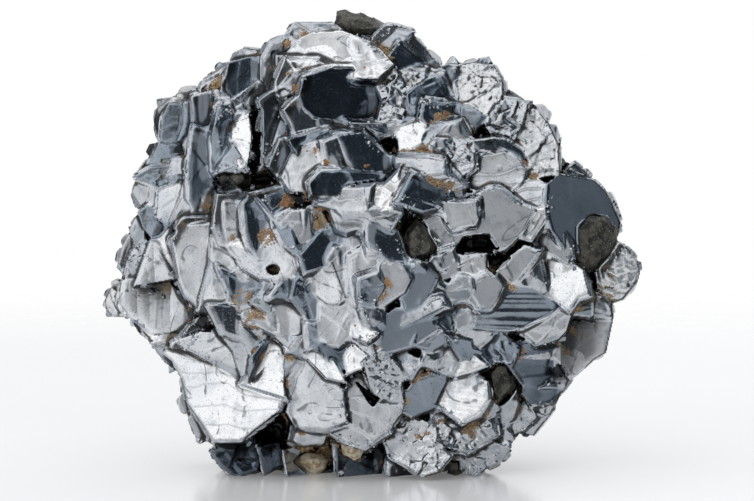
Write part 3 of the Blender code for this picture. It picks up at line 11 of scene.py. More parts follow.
import bpy  # noqa: E402
import numpy as np  # noqa: E402
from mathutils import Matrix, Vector  # noqa: E402
from mathutils.bvhtree import BVHTree  # noqa: E402


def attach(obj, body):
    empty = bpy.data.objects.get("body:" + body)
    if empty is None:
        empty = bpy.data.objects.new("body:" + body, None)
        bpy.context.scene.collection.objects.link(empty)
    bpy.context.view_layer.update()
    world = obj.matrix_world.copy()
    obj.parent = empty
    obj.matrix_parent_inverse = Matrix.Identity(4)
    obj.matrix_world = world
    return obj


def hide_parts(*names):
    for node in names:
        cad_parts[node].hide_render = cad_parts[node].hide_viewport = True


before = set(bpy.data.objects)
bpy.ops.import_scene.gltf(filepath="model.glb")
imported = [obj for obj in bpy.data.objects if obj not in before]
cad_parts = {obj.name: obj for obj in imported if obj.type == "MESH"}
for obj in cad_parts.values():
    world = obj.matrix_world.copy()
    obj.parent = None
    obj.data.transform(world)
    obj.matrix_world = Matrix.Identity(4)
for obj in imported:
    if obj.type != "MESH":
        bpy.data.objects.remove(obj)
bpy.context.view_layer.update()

MM = 0.001
SHEET_LEAN = math.radians(6.0)
LIFT = np.array([0.0, 0.0, 2.0])  # the sheet's origin lies this far below the part's
RIGHT = np.array([1.0, 0.0, 0.0])
UP = np.array([0.0, math.sin(SHEET_LEAN), math.cos(SHEET_LEAN)])
OUT = np.array([0.0, -math.cos(SHEET_LEAN), math.sin(SHEET_LEAN)])
SWELL_CENTRE = np.array([0.0, 46.0, 0.0])
SWELL = np.array([50.0, 47.0, 27.0])  # half sizes of the swelling that the crystals' faces lie on
FLAT_WITHIN = math.radians(1.2)  # triangles that turn less than this belong to one crystal face

SHARP_GRID = 0.19  # spacing of the relief on the display side
COARSE_GRID = 0.55  # spacing of the relief elsewhere
BAND_CELLS = 46000  # grid cells in one piece of the display side's relief
SUNK = 0.45  # how far the plain crystals lie below the display side's relief
THICKEST = 1.0  # the relief is never thicker than this
DISPLAY_SIDE = 0.35  # a face whose cosine to OUT is above this has its relief on the display side
BACK_AND_SIDES = 0.1  # one whose cosine is below this has a relief patch of its own
SMALLEST_RELIEF = 4.0  # a smaller face, in square millimetres, stays plain
SMALLEST_PATCH = 9.0  # the same for a relief patch
NARROWEST = 0.8  # a face with no point this far inside its rim stays plain
RELIEF_ROOT = 0.25  # how deep a relief is set into its face
SLOPE = 0.26  # width of a growth step's sloping side
BASE = 0.05  # height of a relief above its face at the least
GROOVE_REACH, GROOVE_DEPTH = 0.95, 1.8  # a groove within this reach and depth is filled
SKYLINE_POINTS = 700000  # surface points from which the skylines are taken
GAP_PLACES, GAP_CELL = 60000, 4.0  # places tried for gap crystals, and the cell that holds one at the most
CHIPS = 1500
GRAINS = 260  # crust grains for each millimetre of a listed crust's reach
LOOSE_GRAINS = 14000  # places tried for crust grains elsewhere
FAR = 60.0  # further from the sheet than any point of the cluster
EMPTY = -99.0  # the display side's height where there is none

TABLE_RADIUS, TABLE_SIDES = 0.36, 96  # the radius, the camera's distance and the view's width are in metres
CAMERA_DISTANCE = 1.4
VIEW_WIDTH = 0.1508  # what the camera sees at that distance
AIM = (1.0, 45.5, 12.0)  # the sheet place that the camera looks at
SENSOR = 36.0  # the camera's film width, in its own millimetres

# Faces by their finish, each given by a point (u, v) that it lies under. The white and pale lists lighten the base
# colour and the dark and black lists darken it: partly the faces' own tarnish and frosting, partly painted bright
# reflections on the light faces and painted dark reflections on the dark ones.
WHITE_FACES = [
    (-7, 85), (-13, 81.8), (2, 57), (-17.4, 49.5), (-26, 67), (21.5, 78), (32, 69), (38, 40), (9, 69.5),
    (-40, 45.5), (-27, 13), (-30, 17.5), (-21, 22), (-41, 62), (17.5, 17.5), (19, 23), (-9, 23), (-3, 24.5),
    (-2, 29.5), (-26, 47), (31.5, 51), (7.5, 81), (-19, 62), (-37, 76),
]
PALE_FACES = [
    (-12, 62), (-6, 55.4), (-20, 44), (-10.5, 40), (-1, 41), (-5, 32.5), (-14.5, 31.5), (-11.5, 16), (-1, 12),
    (7.5, 7), (-45, 35), (-41, 43), (-35, 43), (-33, 25.5), (18, 53), (20, 41.5), (43, 27), (33, 31), (32, 56),
    (24, 62.5), (-35, 55), (-44, 57), (-39, 56), (-28, 43), (8.7, 39), (27, 42), (-30, 37.5),
]
DARK_FACES = [
    (42, 55), (37.5, 54), (46, 52), (-14.4, 42.6), (0.4, 37.8), (3.6, 33.8), (7.2, 53.4), (-18.4, 55.4),
    (-24.4, 38.2), (-25, 79.5), (-33.5, 62), (-29.5, 68), (-20.3, 70), (-7, 63.5), (-4, 58.7), (0, 64), (-12, 67.5),
    (-22, 50.5), (-15.7, 46), (-11, 46.8), (-10.5, 51), (3.5, 45), (13, 72.3), (8, 83.3), (10.5, 76.5),
    (14.5, 56.2), (-26.5, 31.2), (-22, 25.5), (-34, 29.8), (-20.7, 36), (-12.5, 36), (-16.5, 38), (41.5, 35),
    (24.5, 17), (9.5, 17.5), (21.5, 25.5), (13, 25.5), (13, 30.5), (-27.5, 39), (-40, 71), (-43, 51), (-13.5, 74),
    (-33, 71), (-38, 70), (-43, 65), (-40, 60.5), (-17, 65), (9, 36), (12, 33), (15, 30), (18, 34), (21, 30),
    (11, 27), (17, 27), (25, 33), (26, 27), (-18, 70), (5, 30),
]
BLACK_FACES = [
    (-6, 76), (33, 21.5), (33.5, 17.3), (33, 25.5), (-25, 6), (-20, 6), (-29, 6), (-12, 3), (0, 3), (-6.5, 24),
]
FROSTED_FACES = [(21.5, 78), (32, 69), (7.5, 81), (50, 41.5), (-51, 35.5)]
# Faces by their relief.
SMOOTH_FACES = [
    (-45, 35), (-35, 43), (-20, 44), (-10.5, 40), (-5, 32.5), (-14.5, 31.5), (-11.5, 16), (-33, 25.5), (-21, 22),
    (38, 40), (-41, 43), (42, 55), (-6, 76), (-25, 79.5), (-12, 62), (43, 27), (8.7, 39), (-11, 46.8), (3.5, 45),
    (18, 53), (-28, 43), (33.5, 17.3), (33, 21.5), (27, 42),
]
TERRACED_FACES = [(-27, 13), (32, 56), (24, 62.5), (-1, 12), (9, 69.5), (-6, 55.4)]
SCALLOPED_FACES = [(-7, 85), (-13, 81.8), (2, 57), (-3, 24.5), (-2, 29.5), (21.5, 25.5), (10.5, 76.5), (-4, 58.7)]
RIBBED_FACES = [(-33, 71), (-25, 26), (30, 36), (23, 16), (41.5, 35), (20, 24), (-22, 50.5)]
BROKEN_FACES = [
    (16, 66), (18, 10), (50, 41.5), (-51, 35.5), (21.5, 78), (32.5, 69), (7.5, 81), (3.5, 76), (-32, 79), (34, 13),
    (38, 19), (21, 5), (1.8, 20.5), (-48, 42), (25.5, 72.5), (8, 7), (-44.5, 61), (15.5, 58.5),
]
# Ochre and brown crusts in the gaps: u, v, reach, and how red they are from 0 to 1.
CRUSTS = [
    (-31, 79.5, 1.8, 0.2), (-17, 81.5, 0.8, 0.3), (-15, 77.5, 0.7, 0.6), (-8.5, 79, 1.0, 0.5),
    (-13.5, 88.5, 0.7, 0.3), (-17, 87, 0.7, 0.4), (2.3, 84.6, 1.5, 0.1), (-0.8, 80.6, 1.1, 0.5),
    (13, 71.8, 2.0, 0.3), (19, 68, 0.9, 0.4), (6, 64.4, 1.4, 0.2), (10, 64.2, 1.6, 0.3), (12.5, 58.6, 1.8, 0.3),
    (16, 58.6, 1.3, 0.2), (30, 62.5, 0.7, 0.3), (32.5, 60, 0.8, 0.3), (-17, 55, 1.2, 0.6), (-11, 51.4, 1.7, 0.2),
    (-12.5, 56.5, 0.7, 0.5), (-21, 48.2, 1.4, 0.4), (-28, 48, 0.7, 0.4), (-20.8, 43.6, 1.0, 0.1),
    (-17.8, 42.2, 1.0, 0.4), (-26.2, 36.2, 1.5, 0.2), (-23, 31.5, 2.0, 0.3), (-19.5, 28.6, 0.5, 0.9),
    (-22.6, 24.8, 0.9, 0.5), (-16, 24.7, 0.9, 0.1), (-10, 26, 0.4, 1.0), (-17.6, 19.2, 1.0, 0.3),
    (-16.2, 12.4, 1.2, 0.3), (-14.8, 8.2, 1.3, 0.3), (-1, 62.7, 0.5, 0.8), (-9, 63, 0.4, 0.8),
    (-11.8, 65, 0.7, 0.4), (3, 39, 0.7, 0.5), (2.8, 36, 1.0, 0.1), (26, 51.6, 0.9, 0.4), (29.2, 49.5, 0.6, 0.9),
    (35.2, 51.6, 1.2, 0.2), (35.2, 57, 0.7, 0.3), (23.8, 41.3, 1.1, 0.3), (28, 38.5, 0.8, 0.2),
    (44.2, 52.5, 0.8, 0.1), (46.7, 39.5, 1.4, 0.0), (46.9, 36.5, 1.3, 0.0), (41, 34, 0.7, 0.2),
    (28.6, 25, 1.5, 0.3), (29.6, 20.4, 1.3, 0.2), (29.4, 17, 1.2, 0.1), (22.2, 13.4, 0.9, 0.4),
    (13.7, 11.5, 0.5, 0.6), (10.2, 8.6, 1.0, 0.5), (9, 20.5, 1.8, 0.1), (6.7, 15.6, 0.6, 0.1),
    (1.5, 25.8, 0.7, 0.0), (19.3, 9.2, 1.0, 0.1), (-9, 5.6, 1.9, 0.2), (-5.5, 4.2, 1.4, 0.3), (-13, 6.4, 1.5, 0.3),
    (-3.5, 3.2, 1.4, 0.2), (20, 11, 0.9, 0.2),
]


# ---- arrays

def to_sheet(points):
    """Sheet places (u, v, w) of points in the part's frame, all in millimetres."""
    return np.stack([(points + LIFT) @ axis for axis in (RIGHT, UP, OUT)], axis=-1)


def along_sheet(places):
    """The vectors from the sheet's origin to sheet places."""
    return places[..., :1] * RIGHT + places[..., 1:2] * UP + places[..., 2:] * OUT


def from_sheet(places):
    """Points of the part's frame from sheet places (u, v, w), all in millimetres."""
    return along_sheet(np.asarray(places, float)) - LIFT


def mixed(numbers):
    """Random-looking whole numbers from whole numbers, the same each time."""
    numbers = numbers & 0x7FFFFFFF
    numbers = (numbers ^ (numbers >> 13)) * 1274126177 & 0x7FFFFFFF
    return (numbers ^ (numbers >> 16)) * 974634777 & 0x7FFFFFFF


def noise(points, size, seed=0):
    """Smooth random field from -1 to 1: random values on a lattice of that spacing, blended by smoothstep."""
    place = np.asarray(points, float) / size + 1000.0
    cell = np.floor(place).astype(np.int64)
    part = smoothstep(place - cell, 0.0, 1.0)
    total = np.zeros(place.shape[:-1])
    factors = np.array([73856093, 19349663, 83492791])[: place.shape[-1]]
    for corner in np.ndindex(*(2,) * place.shape[-1]):
        weight = np.prod(np.where(np.array(corner, bool), part, 1.0 - part), axis=-1)
        value = mixed(((cell + np.array(corner)) * factors).sum(-1) + seed * 40503)
        total += weight * (value / 0x3FFFFFFF - 1.0)
    return total


def smoothstep(values, low, high):
    """0 below low, 1 above high, and a smooth rise between."""
    share = np.clip((values - low) / (high - low), 0.0, 1.0)
    return share * share * (3.0 - 2.0 * share)


def linked(count, first, second):
    """A label for each of count items, the same for items that the pairs link, directly or through others."""
    label = np.arange(count)
    while True:
        low = np.minimum(label[first], label[second])
        new = label.copy()
        np.minimum.at(new, first, low)
        np.minimum.at(new, second, low)
        new = new[new]
        if (new == label).all():
            return label
        label = new


def unit_vectors(vectors):
    """Vectors brought to length 1."""
    return vectors / np.linalg.norm(vectors, axis=-1, keepdims=True)


def edges_of(polygons):
    """Pairs of corners: the first edge of every polygon, then the second of every one, and so on."""
    corners = polygons.shape[1]
    return np.concatenate([polygons[:, [side, (side + 1) % corners]] for side in range(corners)])


def outward(points):
    """Directions away from the middle of the swelling, of length 1 on its surface."""
    return along_sheet((to_sheet(points) - SWELL_CENTRE) / SWELL)


def numbers_of(items, key, width, kind):
    """A property of all items of a mesh as an array, with width numbers for each item."""
    numbers = np.empty(len(items) * width, kind)
    items.foreach_get(key, numbers)
    return numbers.reshape(-1, width)


def node_triangles(node):
    """Corner points of a node's triangles in millimetres: one (count, 3, 3) array."""
    node.data.calc_loop_triangles()
    corners = numbers_of(node.data.loop_triangles, "vertices", 3, np.int32)
    return numbers_of(node.data.vertices, "co", 3, float)[corners] / MM


def merged(triangles):
    """Points (n, 3) and corners (m, 3) of loose triangles, with equal points made one."""
    flat = triangles.reshape(-1, 3)
    _, first, index = np.unique(np.round(flat, 3), axis=0, return_index=True, return_inverse=True)
    return flat[first], index.reshape(-1, 3)


def added(name, data):
    """An object of the scene with this mesh or camera."""
    obj = bpy.data.objects.new(name, data)
    bpy.context.scene.collection.objects.link(obj)
    return obj


def make_piece(name, points, faces, material, kinds=0, values=None):
    """A piece of the cluster from arrays: points in millimetres, triangles, and named values.

    A triangle of kind 0 is flat, and the others are smooth among their own kind, with a sharp edge between kinds.
    A list of values has one number for each point, or one for each triangle, which its length tells.
    """
    mesh = bpy.data.meshes.new(name)
    mesh.vertices.add(len(points))
    mesh.vertices.foreach_set("co", (np.asarray(points) * MM).astype(np.float32).ravel())
    mesh.loops.add(faces.size)
    mesh.loops.foreach_set("vertex_index", faces.astype(np.int32).ravel())
    mesh.polygons.add(len(faces))
    mesh.polygons.foreach_set("loop_start", np.arange(0, faces.size, 3, dtype=np.int32))
    mesh.update(calc_edges=True)
    for label, numbers in (values or {}).items():
        domain = "POINT" if len(numbers) == len(points) else "FACE"
        attribute = mesh.attributes.new(label, "FLOAT", domain)
        attribute.data.foreach_set("value", np.asarray(numbers, np.float32))
    kinds = np.array(np.broadcast_to(kinds, len(faces)), int)
    mesh.polygons.foreach_set("use_smooth", kinds > 0)
    edges = numbers_of(mesh.loops, "edge_index", 1, np.int32)[:, 0]
    beside = sum(np.bincount(edges, np.repeat(kinds == kind, 3), len(mesh.edges)) > 0 for kind in range(3))
    mesh.attributes.new("sharp_edge", "BOOLEAN", "EDGE").data.foreach_set("value", beside > 1)
    mesh.update()
    mesh.materials.append(material)
    obj = added(name, mesh)
    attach(obj, "root")
    return obj


# ---- crystal faces

class Faces:
    """The flat faces of the metallic cluster: neighbouring triangles that lie in one plane are one face."""

    def __init__(self, node):
        self.points, self.corners = merged(node_triangles(node))
        a, b, c = (self.points[self.corners[:, i]] for i in range(3))
        cross = np.cross(b - a, c - a)
        double = np.linalg.norm(cross, axis=1)
        keep = double > 1e-7
        self.corners, cross, double = self.corners[keep], cross[keep], double[keep]
        self.unit = cross / double[:, None]
        self.area = double / 2
        self.middle = self.points[self.corners].mean(axis=1)
        owner = np.tile(np.arange(len(self.corners)), 3)
        key = np.sort(edges_of(self.corners), axis=1)
        order = np.lexsort((key[:, 1], key[:, 0]))
        same = (key[order[1:]] == key[order[:-1]]).all(axis=1)
        one, two = owner[order[:-1][same]], owner[order[1:][same]]
        flat = (self.unit[one] * self.unit[two]).sum(1) > math.cos(FLAT_WITHIN)
        self.label = linked(len(self.corners), one[flat], two[flat])
        self.tree = BVHTree.FromPolygons(self.points.tolist(), self.corners.tolist())

    def label_under(self, u, v):
        """Label of the face that a line meets when it runs into the display side at (u, v), or -1."""
        _, _, index, _ = self.tree.ray_cast(Vector(from_sheet([u, v, FAR])), Vector(-OUT))
        return -1 if index is None else int(self.label[index])

    def scattered(self, count, rng):
        """Random points spread evenly over the solid."""
        picks = rng.choice(len(self.area), count, p=self.area / self.area.sum())
        share = rng.dirichlet((1, 1, 1), count)
        return (self.points[self.corners[picks]] * share[..., None]).sum(1)

    def rim(self, chosen):
        """The edges around a set of triangles, as pairs of point numbers in the triangles' direction."""
        edges = [tuple(edge) for edge in edges_of(self.corners[chosen]).tolist()]
        ends = set(edges)
        return np.array([edge for edge in edges if edge[::-1] not in ends])

    def plane(self, chosen):
        """Unit normal and middle of a set of triangles."""
        weight = self.area[chosen, None]
        unit = unit_vectors((self.unit[chosen] * weight).sum(0))
        return unit, (self.middle[chosen] * weight).sum(0) / weight.sum()


class Skyline:
    """How high the solid stands when it is seen along an axis: the highest of many surface points in each cell."""

    CELL, HALF, RAISED = 0.6, 66.0, 20.0  # the grid's cell and half width, and where its middle lies along y

    def __init__(self, points, axis):
        self.axis = axis
        self.across = unit_vectors(np.cross(UP, axis) if abs(axis @ UP) < 0.9 else RIGHT)
        self.along = np.cross(axis, self.across)
        size = int(2 * self.HALF / self.CELL)
        self.height = np.full((size, size), -FAR)
        np.maximum.at(self.height, self.cells(points @ self.across, points @ self.along), points @ axis)

    def cells(self, x, y):
        last = len(self.height) - 1
        return tuple(np.clip(((value + self.HALF) / self.CELL).astype(int), 0, last) for value in (x, y - self.RAISED))

    def openness(self, points):
        """From 0, shut in, to 1, free: the squared cosine of the skyline's angle, averaged over 12 directions."""
        x, y, own = points @ self.across, points @ self.along, points @ self.axis
        total = np.zeros(len(points))
        for turn in np.arange(12) * math.pi / 6:
            steep = np.zeros(len(points))
            for reach in (0.9, 1.7, 2.8, 4.4, 7.0, 11.0):
                height = self.height[self.cells(x + reach * math.cos(turn), y + reach * math.sin(turn))]
                steep = np.maximum(steep, (height - own - 0.15) / reach)
            total += 1.0 / (1.0 + steep**2)
        return total / 12


class Shelter:
    """Openness of points anywhere on the solid, from the skyline that they face most."""

    def __init__(self, faces, rng):
        points = faces.scattered(SKYLINE_POINTS, rng)
        self.lines = [Skyline(points, axis) for axis in (OUT, -OUT, RIGHT, -RIGHT, UP)]

    def openness(self, points):
        facing = np.stack([outward(points) @ line.axis for line in self.lines])
        facing[0] += 0.25  # the display side's skyline is preferred
        chosen = facing.argmax(axis=0)
        result = np.ones(len(points))
        for number, line in enumerate(self.lines):
            mine = chosen == number
            if mine.any():
                result[mine] = line.openness(points[mine])
        return result


def stain_at(points):
    """From 0 to 1: how near points lie to a listed crust on the display side, and how red it is there."""
    places = to_sheet(points)
    spots = np.array(CRUSTS)
    ragged = 0.8 * noise(places, 1.6, 91)
    amount, red = np.zeros(len(points)), np.zeros(len(points))
    for u, v, reach, redness in spots:
        gap = np.hypot(places[:, 0] - u, places[:, 1] - v) + ragged
        near = smoothstep(1.9 * reach - gap, 0.0, 1.3 * reach) * (places[:, 2] > 2.0)
        red = np.where(near > amount, redness, red)
        amount = np.maximum(amount, near)
    return amount, red


def distance_inside(x, y, rim):
    """Distance of grid points to a rim, an array (count, 2, 2) of edges, above zero inside it.

    A point is inside where a line that leaves it along x crosses the rim an odd number of times.
    """
    start, end = rim[:, 0], rim[:, 1]
    side = end - start
    gap_x, gap_y = x[..., None] - start[:, 0], y[..., None] - start[:, 1]
    along = np.clip((gap_x * side[:, 0] + gap_y * side[:, 1]) / np.maximum((side**2).sum(1), 1e-12), 0, 1)
    distance = np.hypot(gap_x - along * side[:, 0], gap_y - along * side[:, 1]).min(axis=-1)
    crosses = (start[:, 1] > y[..., None]) != (end[:, 1] > y[..., None])
    steep = np.where(np.abs(side[:, 1]) > 1e-12, side[:, 1], 1e-12)
    before = gap_x < side[:, 0] * gap_y / steep
    inside = (crosses & before).sum(axis=-1) % 2 == 1
    return np.where(inside, distance, -distance)


def cells_of(x, size):
    """How many cells of the grid x make up a square of that size."""
    return size**2 / (x[0, 1] - x[0, 0]) ** 2


def distance_along(x, y, turn):
    """Distance along the direction that is turned that much from x towards y."""
    return x * math.cos(turn) + y * math.sin(turn)


def front(x, y, inside, rng, low=0.1, high=0.9, turns=(0.0, 2 * math.pi)):
    """Distance past a straight line of random direction, between two turns, that crosses the face."""
    place = distance_along(x, y, rng.uniform(*turns))
    return place - np.quantile(place[inside > 0.2], rng.uniform(low, high))


def own_noise(x, y, rng):
    """Noise over a grid with a seed of its own: a function of its size and of a number to add to the seed."""
    flat, seed = np.stack([x, y], axis=-1), int(rng.integers(1 << 20))
    return lambda size, more=0: noise(flat, size, seed + more)


def random_seats(x, inside, rng, least_inside, size, least):
    """Random grid points that far inside the rim, about one for each square of that size."""
    seats = np.flatnonzero((inside > least_inside).ravel())
    return rng.choice(seats, max(least, int(len(seats) / cells_of(x, size))))


def plates(x, y, inside, rng, count, thickness):
    """Growth plates: each lies where a bent straight front, or a bent round one, and the rim let it."""
    wave = own_noise(x, y, rng)
    height = np.zeros(x.shape)
    bend = 0.55 * wave(4.0) + 0.12 * wave(1.3, 1)
    reach = inside.max()
    for _ in range(count):
        if rng.random() < 0.7:
            field = front(x, y, inside, rng) + bend * rng.choice([0.15, 1.0])
        else:
            centre = rng.uniform(-0.6, 0.6, 2) * reach
            field = reach * rng.uniform(0.4, 1.2) - np.hypot(x - centre[0], y - centre[1]) + bend
        if rng.random() < 0.4:
            field = np.minimum(field, inside - rng.uniform(0.3, 0.9))
        height += thickness * rng.uniform(0.5, 1.5) * smoothstep(field, 0.0, SLOPE)
    return height


def smooth_face(x, y, inside, rng):
    """A nearly flat face: one or two thin plates and a slight swell."""
    swell = 0.10 * own_noise(x, y, rng)(6.0)
    return 0.06 + plates(x, y, inside, rng, int(rng.integers(1, 3)), 0.07) + swell * smoothstep(inside, 0.0, 2.5)


def stepped_face(x, y, inside, rng):
    """A face with three to five growth plates of unlike thickness."""
    return BASE + plates(x, y, inside, rng, int(rng.integers(3, 6)), 0.16)


def terraced_face(x, y, inside, rng):
    """Terraces with wavy edges: a bent ramp's whole steps with smooth risers, less three quarters of the ramp."""
    wave = own_noise(x, y, rng)
    ramp = front(x, y, inside, rng, 0.0, 0.1, (1.1, 2.0)) / rng.uniform(2.6, 3.6) + 0.55 * wave(6.0)
    ramp += 0.12 * wave(2.2, 1)
    stairs = np.floor(ramp) + smoothstep(ramp - np.floor(ramp), 0.0, 0.07) - 0.75 * ramp
    return BASE + 0.3 * (stairs - stairs[inside > 0].min())


def uneven_turns(sides, rng):
    """Angles spread round a circle, each moved a little."""
    return (np.arange(sides) + rng.uniform(-0.22, 0.22, sides)) * 2 * math.pi / sides


def faceted(x, y, inside, rng, low, high):
    """Blunt pyramids, the highest winning: each falls from its apex along the steepest of two to four planes."""
    height = np.full(x.shape, -9.0)
    held = inside > 0.3
    seats = np.flatnonzero((inside > 0.35 * inside.max()).ravel())
    for _ in range(1 + (held.sum() > cells_of(x, 6.7))):
        seat = rng.choice(seats)
        gap_x, gap_y = x - x.ravel()[seat], y - y.ravel()[seat]
        sides = int(rng.integers(2, 5))
        turns = rng.uniform(0, 2 * math.pi) + uneven_turns(sides, rng)
        slopes = np.tan(np.radians(rng.uniform(low, high, sides)))
        fall = np.max([slope * distance_along(gap_x, gap_y, turn) for turn, slope in zip(turns, slopes)], axis=0)
        height = np.maximum(height, fall[held].max() * rng.uniform(0.55, 0.95) - fall)
    return np.maximum(height, 0.0)


def sharp_face(x, y, inside, rng):
    """Steep blunt pyramids with a few plates on them."""
    return BASE + faceted(x, y, inside, rng, 9, 24) + plates(x, y, inside, rng, 2, 0.09)


def eased_face(x, y, inside, rng):
    """Shallow blunt pyramids with plates on them."""
    return BASE + faceted(x, y, inside, rng, 3, 8) + plates(x, y, inside, rng, 3, 0.1)


def scalloped_face(x, y, inside, rng):
    """Shell-like hollows that meet in ridges: the squared distance to the nearest of a few points."""
    wave = own_noise(x, y, rng)
    bent_x, bent_y = x + 0.9 * wave(3.0), y + 0.9 * wave(3.0, 1)
    seats = random_seats(x, inside, rng, -0.5, 4.1, 3)
    gap = np.hypot(bent_x[..., None] - x.ravel()[seats], bent_y[..., None] - y.ravel()[seats]).min(axis=-1)
    return BASE + np.minimum(0.10 * gap**2, 1.1) + plates(x, y, inside, rng, 2, 0.12)


def ribbed_face(x, y, inside, rng):
    """Straight ribs of unlike width and height across the face: a folded ramp through a bent coordinate."""
    flat = np.stack([x, y], axis=-1)
    seed = int(rng.integers(1 << 20))
    turn = rng.uniform(-0.35, 0.35) + (math.pi / 2 if np.ptp(x[inside > 0]) < np.ptp(y[inside > 0]) else 0.0)
    across = distance_along(y, -x, turn)
    place = np.stack([across * 1.1, distance_along(x, y, turn) * 0.03], axis=-1)
    bent = across / 1.25 + 0.7 * noise(place, 1.5, seed)
    fold = np.abs(bent - np.floor(bent) - 0.5) * 2
    return BASE + 0.11 * fold * (0.6 + 0.6 * noise(place, 1.1, seed + 1)) + 0.02 * noise(flat, 1.0, seed + 2)


def broken_face(x, y, inside, rng):
    """A broken face: tilted shards round the nearest of many random points, with small steps on them."""
    wave = own_noise(x, y, rng)
    height = np.zeros(x.shape)
    for more, size, lift, tip in ((0, 2.6, 0.75, 0.22), (7, 0.95, 0.2, 0.25)):
        seats = random_seats(x, inside, rng, -0.3, size, 4)
        centre_x, centre_y = x.ravel()[seats], y.ravel()[seats]
        bent_x, bent_y = (axis + 0.3 * size * wave(0.9 * size, more + i) for i, axis in enumerate((x, y)))
        nearest = np.hypot(bent_x[..., None] - centre_x, bent_y[..., None] - centre_y).argmin(axis=-1)
        tilt = rng.normal(0, tip, (len(seats), 2))[nearest]
        height += rng.uniform(0.0, lift, len(seats))[nearest]
        height += tilt[..., 0] * (x - centre_x[nearest]) + tilt[..., 1] * (y - centre_y[nearest])
    return np.clip(height, 0.0, 1.3)


def grid_cells(held):
    """Corner numbers (count, 4) of the grid's cells with all four corners held."""
    corners = [np.s_[:-1, :-1], np.s_[:-1, 1:], np.s_[1:, 1:], np.s_[1:, :-1]]
    number = np.arange(held.size).reshape(held.shape)
    whole = np.all([held[corner] for corner in corners], axis=0)
    return np.stack([number[corner] for corner in corners], axis=-1)[whole]


def relief_patch(faces, chosen, rng, shape):
    """A closed sheet over one crystal face: a grid of heights on top, and a flat underside set into the face.

    Grid cells wholly inside the face are kept. The height is shape(x, y, distance inside the rim, rng), and it
    comes down to the face along the rim. Gives points, triangles and kinds, or None where the face is too small.
    """
    unit, middle = faces.plane(chosen)
    across = unit_vectors(np.cross([0.3, 0.2, 1.0], unit))
    along = np.cross(unit, across)
    rim = faces.points[faces.rim(chosen)] - middle
    flat_rim = np.stack([rim @ across, rim @ along], axis=-1)
    low, high = flat_rim.min((0, 1)), flat_rim.max((0, 1)) + COARSE_GRID
    x, y = np.meshgrid(*(np.arange(low[axis], high[axis], COARSE_GRID) for axis in (0, 1)))
    if min(x.shape) < 5:
        return None
    inside = distance_inside(x, y, flat_rim)
    if inside.max() < NARROWEST:
        return None
    margin = 0.06
    height = np.minimum(shape(x, y, inside, rng), 0.02 + 1.6 * np.maximum(inside - margin, 0.0))
    quads = grid_cells(inside > margin)
    if len(quads) < 8:
        return None
    used, corner = np.unique(quads, return_inverse=True)
    place = middle + x.ravel()[used, None] * across + y.ravel()[used, None] * along
    top = place + height.ravel()[used, None] * unit
    return closed_sheet(top, place - RELIEF_ROOT * unit, corner.reshape(-1, 4))


def closed_sheet(top, under, quads):
    """Points, triangles and kinds of a sheet with a top, an underside and walls round its open edges."""
    edges = edges_of(quads)
    _, index, times = np.unique(np.sort(edges, axis=1), axis=0, return_inverse=True, return_counts=True)
    walls = edges[times[index.reshape(-1)] == 1]
    below, walls = quads + len(top), np.column_stack([walls, walls + len(top)])
    faces = np.concatenate([
        quads[:, [0, 1, 2]], quads[:, [0, 2, 3]], below[:, [0, 2, 1]], below[:, [0, 3, 2]],
        walls[:, [0, 2, 3]], walls[:, [0, 3, 1]],
    ])
    return np.concatenate([top, under]), faces, (np.arange(len(faces)) < 2 * len(quads)).astype(int)


def joined(parts):
    """Several (points, faces, values, kinds) made one, the faces' numbers shifted to match."""
    points, faces, values, kinds = zip(*parts)
    starts = np.cumsum([0] + [len(places) for places in points[:-1]])
    return (np.concatenate(points), np.concatenate([part + start for part, start in zip(faces, starts)]),
            {key: np.concatenate([part[key] for part in values]) for key in values[0]},
            np.concatenate([np.broadcast_to(kind, len(part)) for kind, part in zip(kinds, faces)]))


# ---- display side

def highest(field, radius):
    """For each point of a grid, the greatest value within the radius round it."""
    reach = radius / SHARP_GRID
    steps = range(-int(reach), int(reach) + 1)
    shifts = [(i, j) for i in steps for j in steps if i * i + j * j <= reach * reach]
    return functools.reduce(np.maximum, (np.roll(field, shift, (0, 1)) for shift in shifts))


def blurred(field, held, size):
    """The mean of the field's held points round each point, weighted by a bell curve of that width."""
    reach = int(3 * size / SHARP_GRID)
    steps = np.arange(-reach, reach + 1)
    bell = np.exp(-0.5 * (steps * SHARP_GRID / size) ** 2)
    total, weight = np.where(held, field, 0.0), held.astype(float)
    for axis in (0, 1):
        total, weight = (sum(share * np.roll(values, step, axis) for share, step in zip(bell, steps))
                         for values in (total, weight))
    return total / np.maximum(weight, 1e-9)


def softened(field, rounds, most):
    """The field with its sharp ridges and steps rounded: each point moves towards its neighbours, up to a limit."""
    for _ in range(rounds):
        gaps = (np.roll(field, step, axis) - field for step in (1, -1) for axis in (0, 1))
        field = field + 0.2 * sum(np.clip(gap, -most, most) for gap in gaps)
    return field


